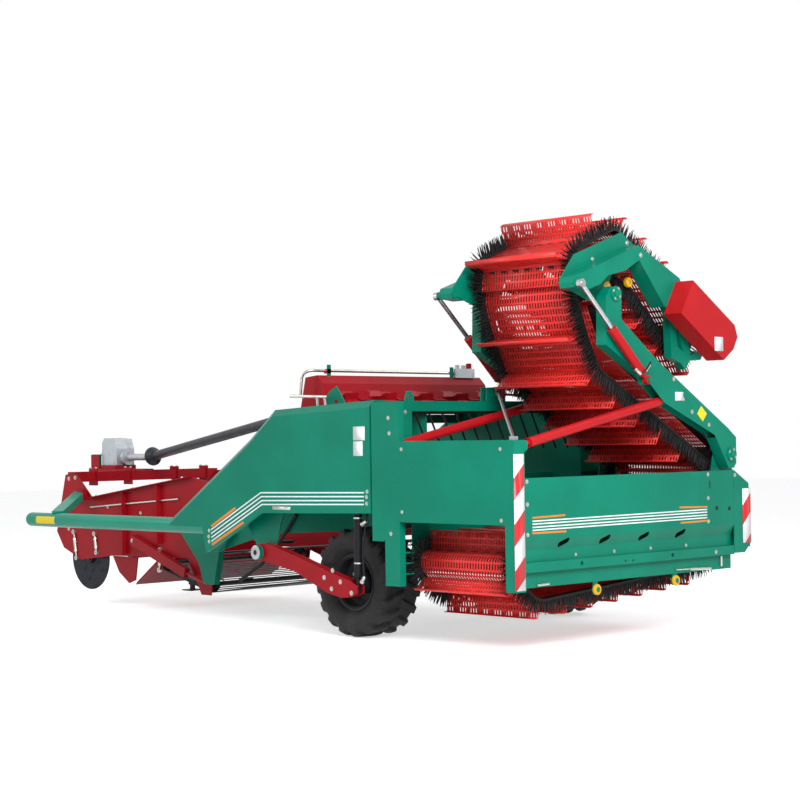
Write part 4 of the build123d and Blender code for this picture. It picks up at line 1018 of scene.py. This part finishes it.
add("idler_brackets", "machine", brackets, green_paint, "green_paint")
roller = [(0, .01), (0, .034), (.004, .038), (.03, .038), (.034, .034), (.034, .01)]
knees = [(-1.812, .31, 2.705), (-1.812, .046, 2.747)]
add("knee_rollers", "end_section", [lathe(roller, knee, FORWARD) for knee in knees], yellow_plastic, "guard_plastic")
bolts("knee_roller_bolts", "end_section", knees, BACK, .01)
RODS = [((-1.922, -.322, .518), (-1.922, -.501, .512), .006, 10),
        ((-1.922, -.501, .512), (-1.922, -.769, .5), .011, 14),
        ((-1.92, 1.283, .503), (-1.92, 1.158, .505), .009, 12),
        ((-1.92, -.913, .511), (-1.92, -.913, .59), .01, 12)]
springs = [part for start, end, radius, sides in RODS for part in tube([start, end], radius, sides)]
add("tension_rods", "machine", springs, zinc, "bare_steel", 40)

# %% [markdown]
# The head's depth is set with threaded rods, each with a sleeve to turn and a nut to lock it. Dark
# bars under the side walls carry the idlers of the digging web.

# %% Links and turnbuckles of the head
def turnbuckle(start, end, radius=.011):
    """Threaded rods from both ends with a thicker sleeve over the middle third and a nut at each end of it."""
    start, end = np.asarray(start, float), np.asarray(end, float)
    a, b = start + (end - start) * .3, start + (end - start) * .7
    eye = [(-.012, .008), (-.012, .022), (.012, .022), (.012, .008), (-.012, .008)]
    parts = tube([start, end], radius * .7, 10) + tube([a, b], radius * 1.4, 12)
    parts.append(nuts((radius * 1.5, .03), [a, b], [a - b, b - a]))
    return parts + [lathe(eye, p, LEFTWARD) for p in (start, end)]


rods, hangers = [], []
for out in (1, -1):
    rod_y, bar_y, web_y = out * .912, out * .945, out * .8
    for a, b in (((4.517, .694), (4.471, .44)), ((3.101, .566), (3.115, .379)), ((4.161, .685), (4.131, .505))):
        rods += turnbuckle((a[0], rod_y, a[1]), (b[0], rod_y, b[1]))
    rods += tube([(2.352, rod_y, .358), (2.159, rod_y, .331)], .01, 10)
    rods += tube([(4.224, rod_y, .943), (2.814, rod_y, 1.041)], .008, 10)
    for places in ([(1.34, .692), (1.114, .933)], [(1.89, .339), (1.549, .513), (1.45, .8)]):
        hangers += tube(bent([(x, bar_y, z) for x, z in places], .06), .016, 12)
        x, z = places[0]
        hangers += tube([(x, bar_y, z), (x, web_y, z)], .016, 12)
add("head_rods", "machine", rods, zinc, "bare_steel", 35)
add("hanger_bars", "machine", hangers, black_paint, "black_paint", 35)

# %% [markdown]
# The front gearbox stands between two green cheeks, and a ring of bolts holds the flange of its
# output.

# %% Front gearbox
cheeks = [block((5.188, out * .111, 1.291), (5.332, out * .12, 1.442)) for out in (1, -1)]
add("gearbox_cheeks", "machine", cheeks, green_paint, "green_paint")
cos, sin = evenly(8)
bolts("gearbox_bolts", "machine", join(5.19, .085 * cos, 1.44 + .085 * sin), BACK, .009)

# %% [markdown]
# The floor is pale and plain, and the light is that of a studio: one broad soft lamp above, one to
# each side, and a pale world. The camera stands where the photographer stood, which the machine's own
# straight edges tell: 15.6 m away, at 1.6 m above the ground, with a long lens. What the camera sees
# directly of the world is white, while the light that the world gives is much weaker.

# %% Floor, light and camera
def seen_directly(graph):
    """1 where a ray comes from the camera, also by way of a mirror or glass, and 0 for light on the machine."""
    camera, glossy, glass = (graph.node("ShaderNodeLightPath", output=f"Is {kind} Ray")
                             for kind in ("Camera", "Glossy", "Transmission"))
    return camera.larger(glossy).larger(glass)


floor_points = np.array([[-40, -40, 0], [40, -40, 0], [40, 40, 0], [-40, 40, 0]], float)
floor_finish = Finish("floor_pale", Roughness=.9, Specular_IOR_Level=.1)
pale = floor_finish.mix(floor_finish.noise(.4, 1.0), (.9, .9, .9, 1), (.93, .93, .93, 1))
glow = floor_finish.mix(seen_directly(floor_finish), (0.0, 0.0, 0.0, 1), (.55, .55, .55, 1))
floor_finish.set(Base_Color=pale, Emission_Color=glow, Emission_Strength=1.0)
floor = make("floor", [shape(floor_points, [[0, 1, 2, 3]], floor_points[:, :2])], floor_finish.material, 0)

world = bpy.data.worlds.new("studio")
bpy.context.scene.world = world
world.use_nodes = True
sky = Graph(world.node_tree)
lit = sky.tree.nodes["Background"]
lit.inputs["Color"].default_value = (.97, .98, 1.0, 1.0)
lit.inputs["Strength"].default_value = .42
white_sky = sky.node("ShaderNodeBackground", inputs={"Color": (1.0, 1.0, 1.0, 1.0)})
either = sky.node("ShaderNodeMixShader", inputs={0: seen_directly(sky), 1: Value(sky, lit.outputs[0]), 2: white_sky})
sky.feed(sky.tree.nodes["World Output"].inputs[0], either)


def stand_at(thing, right, up, back, place):
    """Puts a lamp or a camera in the scene with its own axes along three directions."""
    holder = bpy.data.objects.new(thing.name, thing)
    matrix = np.eye(4)
    matrix[:3] = np.stack([right, up, back, place + SHIFT], -1)
    holder.matrix_world = Matrix(matrix.tolist())
    bpy.context.scene.collection.objects.link(holder)
    return holder


def lamp(name, place, target, size, power):
    """Round lamp, whose own Z axis points from its target back to its place."""
    light = bpy.data.lights.new(name, "AREA")
    light.shape, light.size, light.energy = "DISK", size, power
    back = unit(np.array(place, float) - target)
    stand_at(light, *sides_of(back), back, np.array(place, float))


lamp("key_lamp", (-8.5, 6, 6.5), (0, 0, 1), 5, 1250)
lamp("front_lamp", (7, 6, 5), (1, 0, 1), 4, 170)
lamp("back_lamp", (-3, -7, 7), (0, 0, 1), 5, 220)

YAW, PITCH, ROLL, LENS = math.radians(43.8), math.radians(1.093), math.radians(.8525), 83.25
look = np.array([math.cos(YAW) * math.cos(PITCH), -math.sin(YAW) * math.cos(PITCH), math.sin(PITCH)])
right = np.array([-math.sin(YAW), -math.cos(YAW), 0.0])
up = np.cross(right, look)
right, up = math.cos(ROLL) * right - math.sin(ROLL) * up, math.sin(ROLL) * right + math.cos(ROLL) * up
lens = bpy.data.cameras.new("camera")
lens.lens, lens.sensor_width, lens.clip_end = LENS, 36.0, 200.0
bpy.context.scene.camera = stand_at(lens, right, up, -look, np.array([-10.848, 11.18, 1.594]))
bpy.context.scene.view_settings.view_transform = "Standard"
print("camera", LENS, "mm, turned", math.degrees(YAW), "degrees")
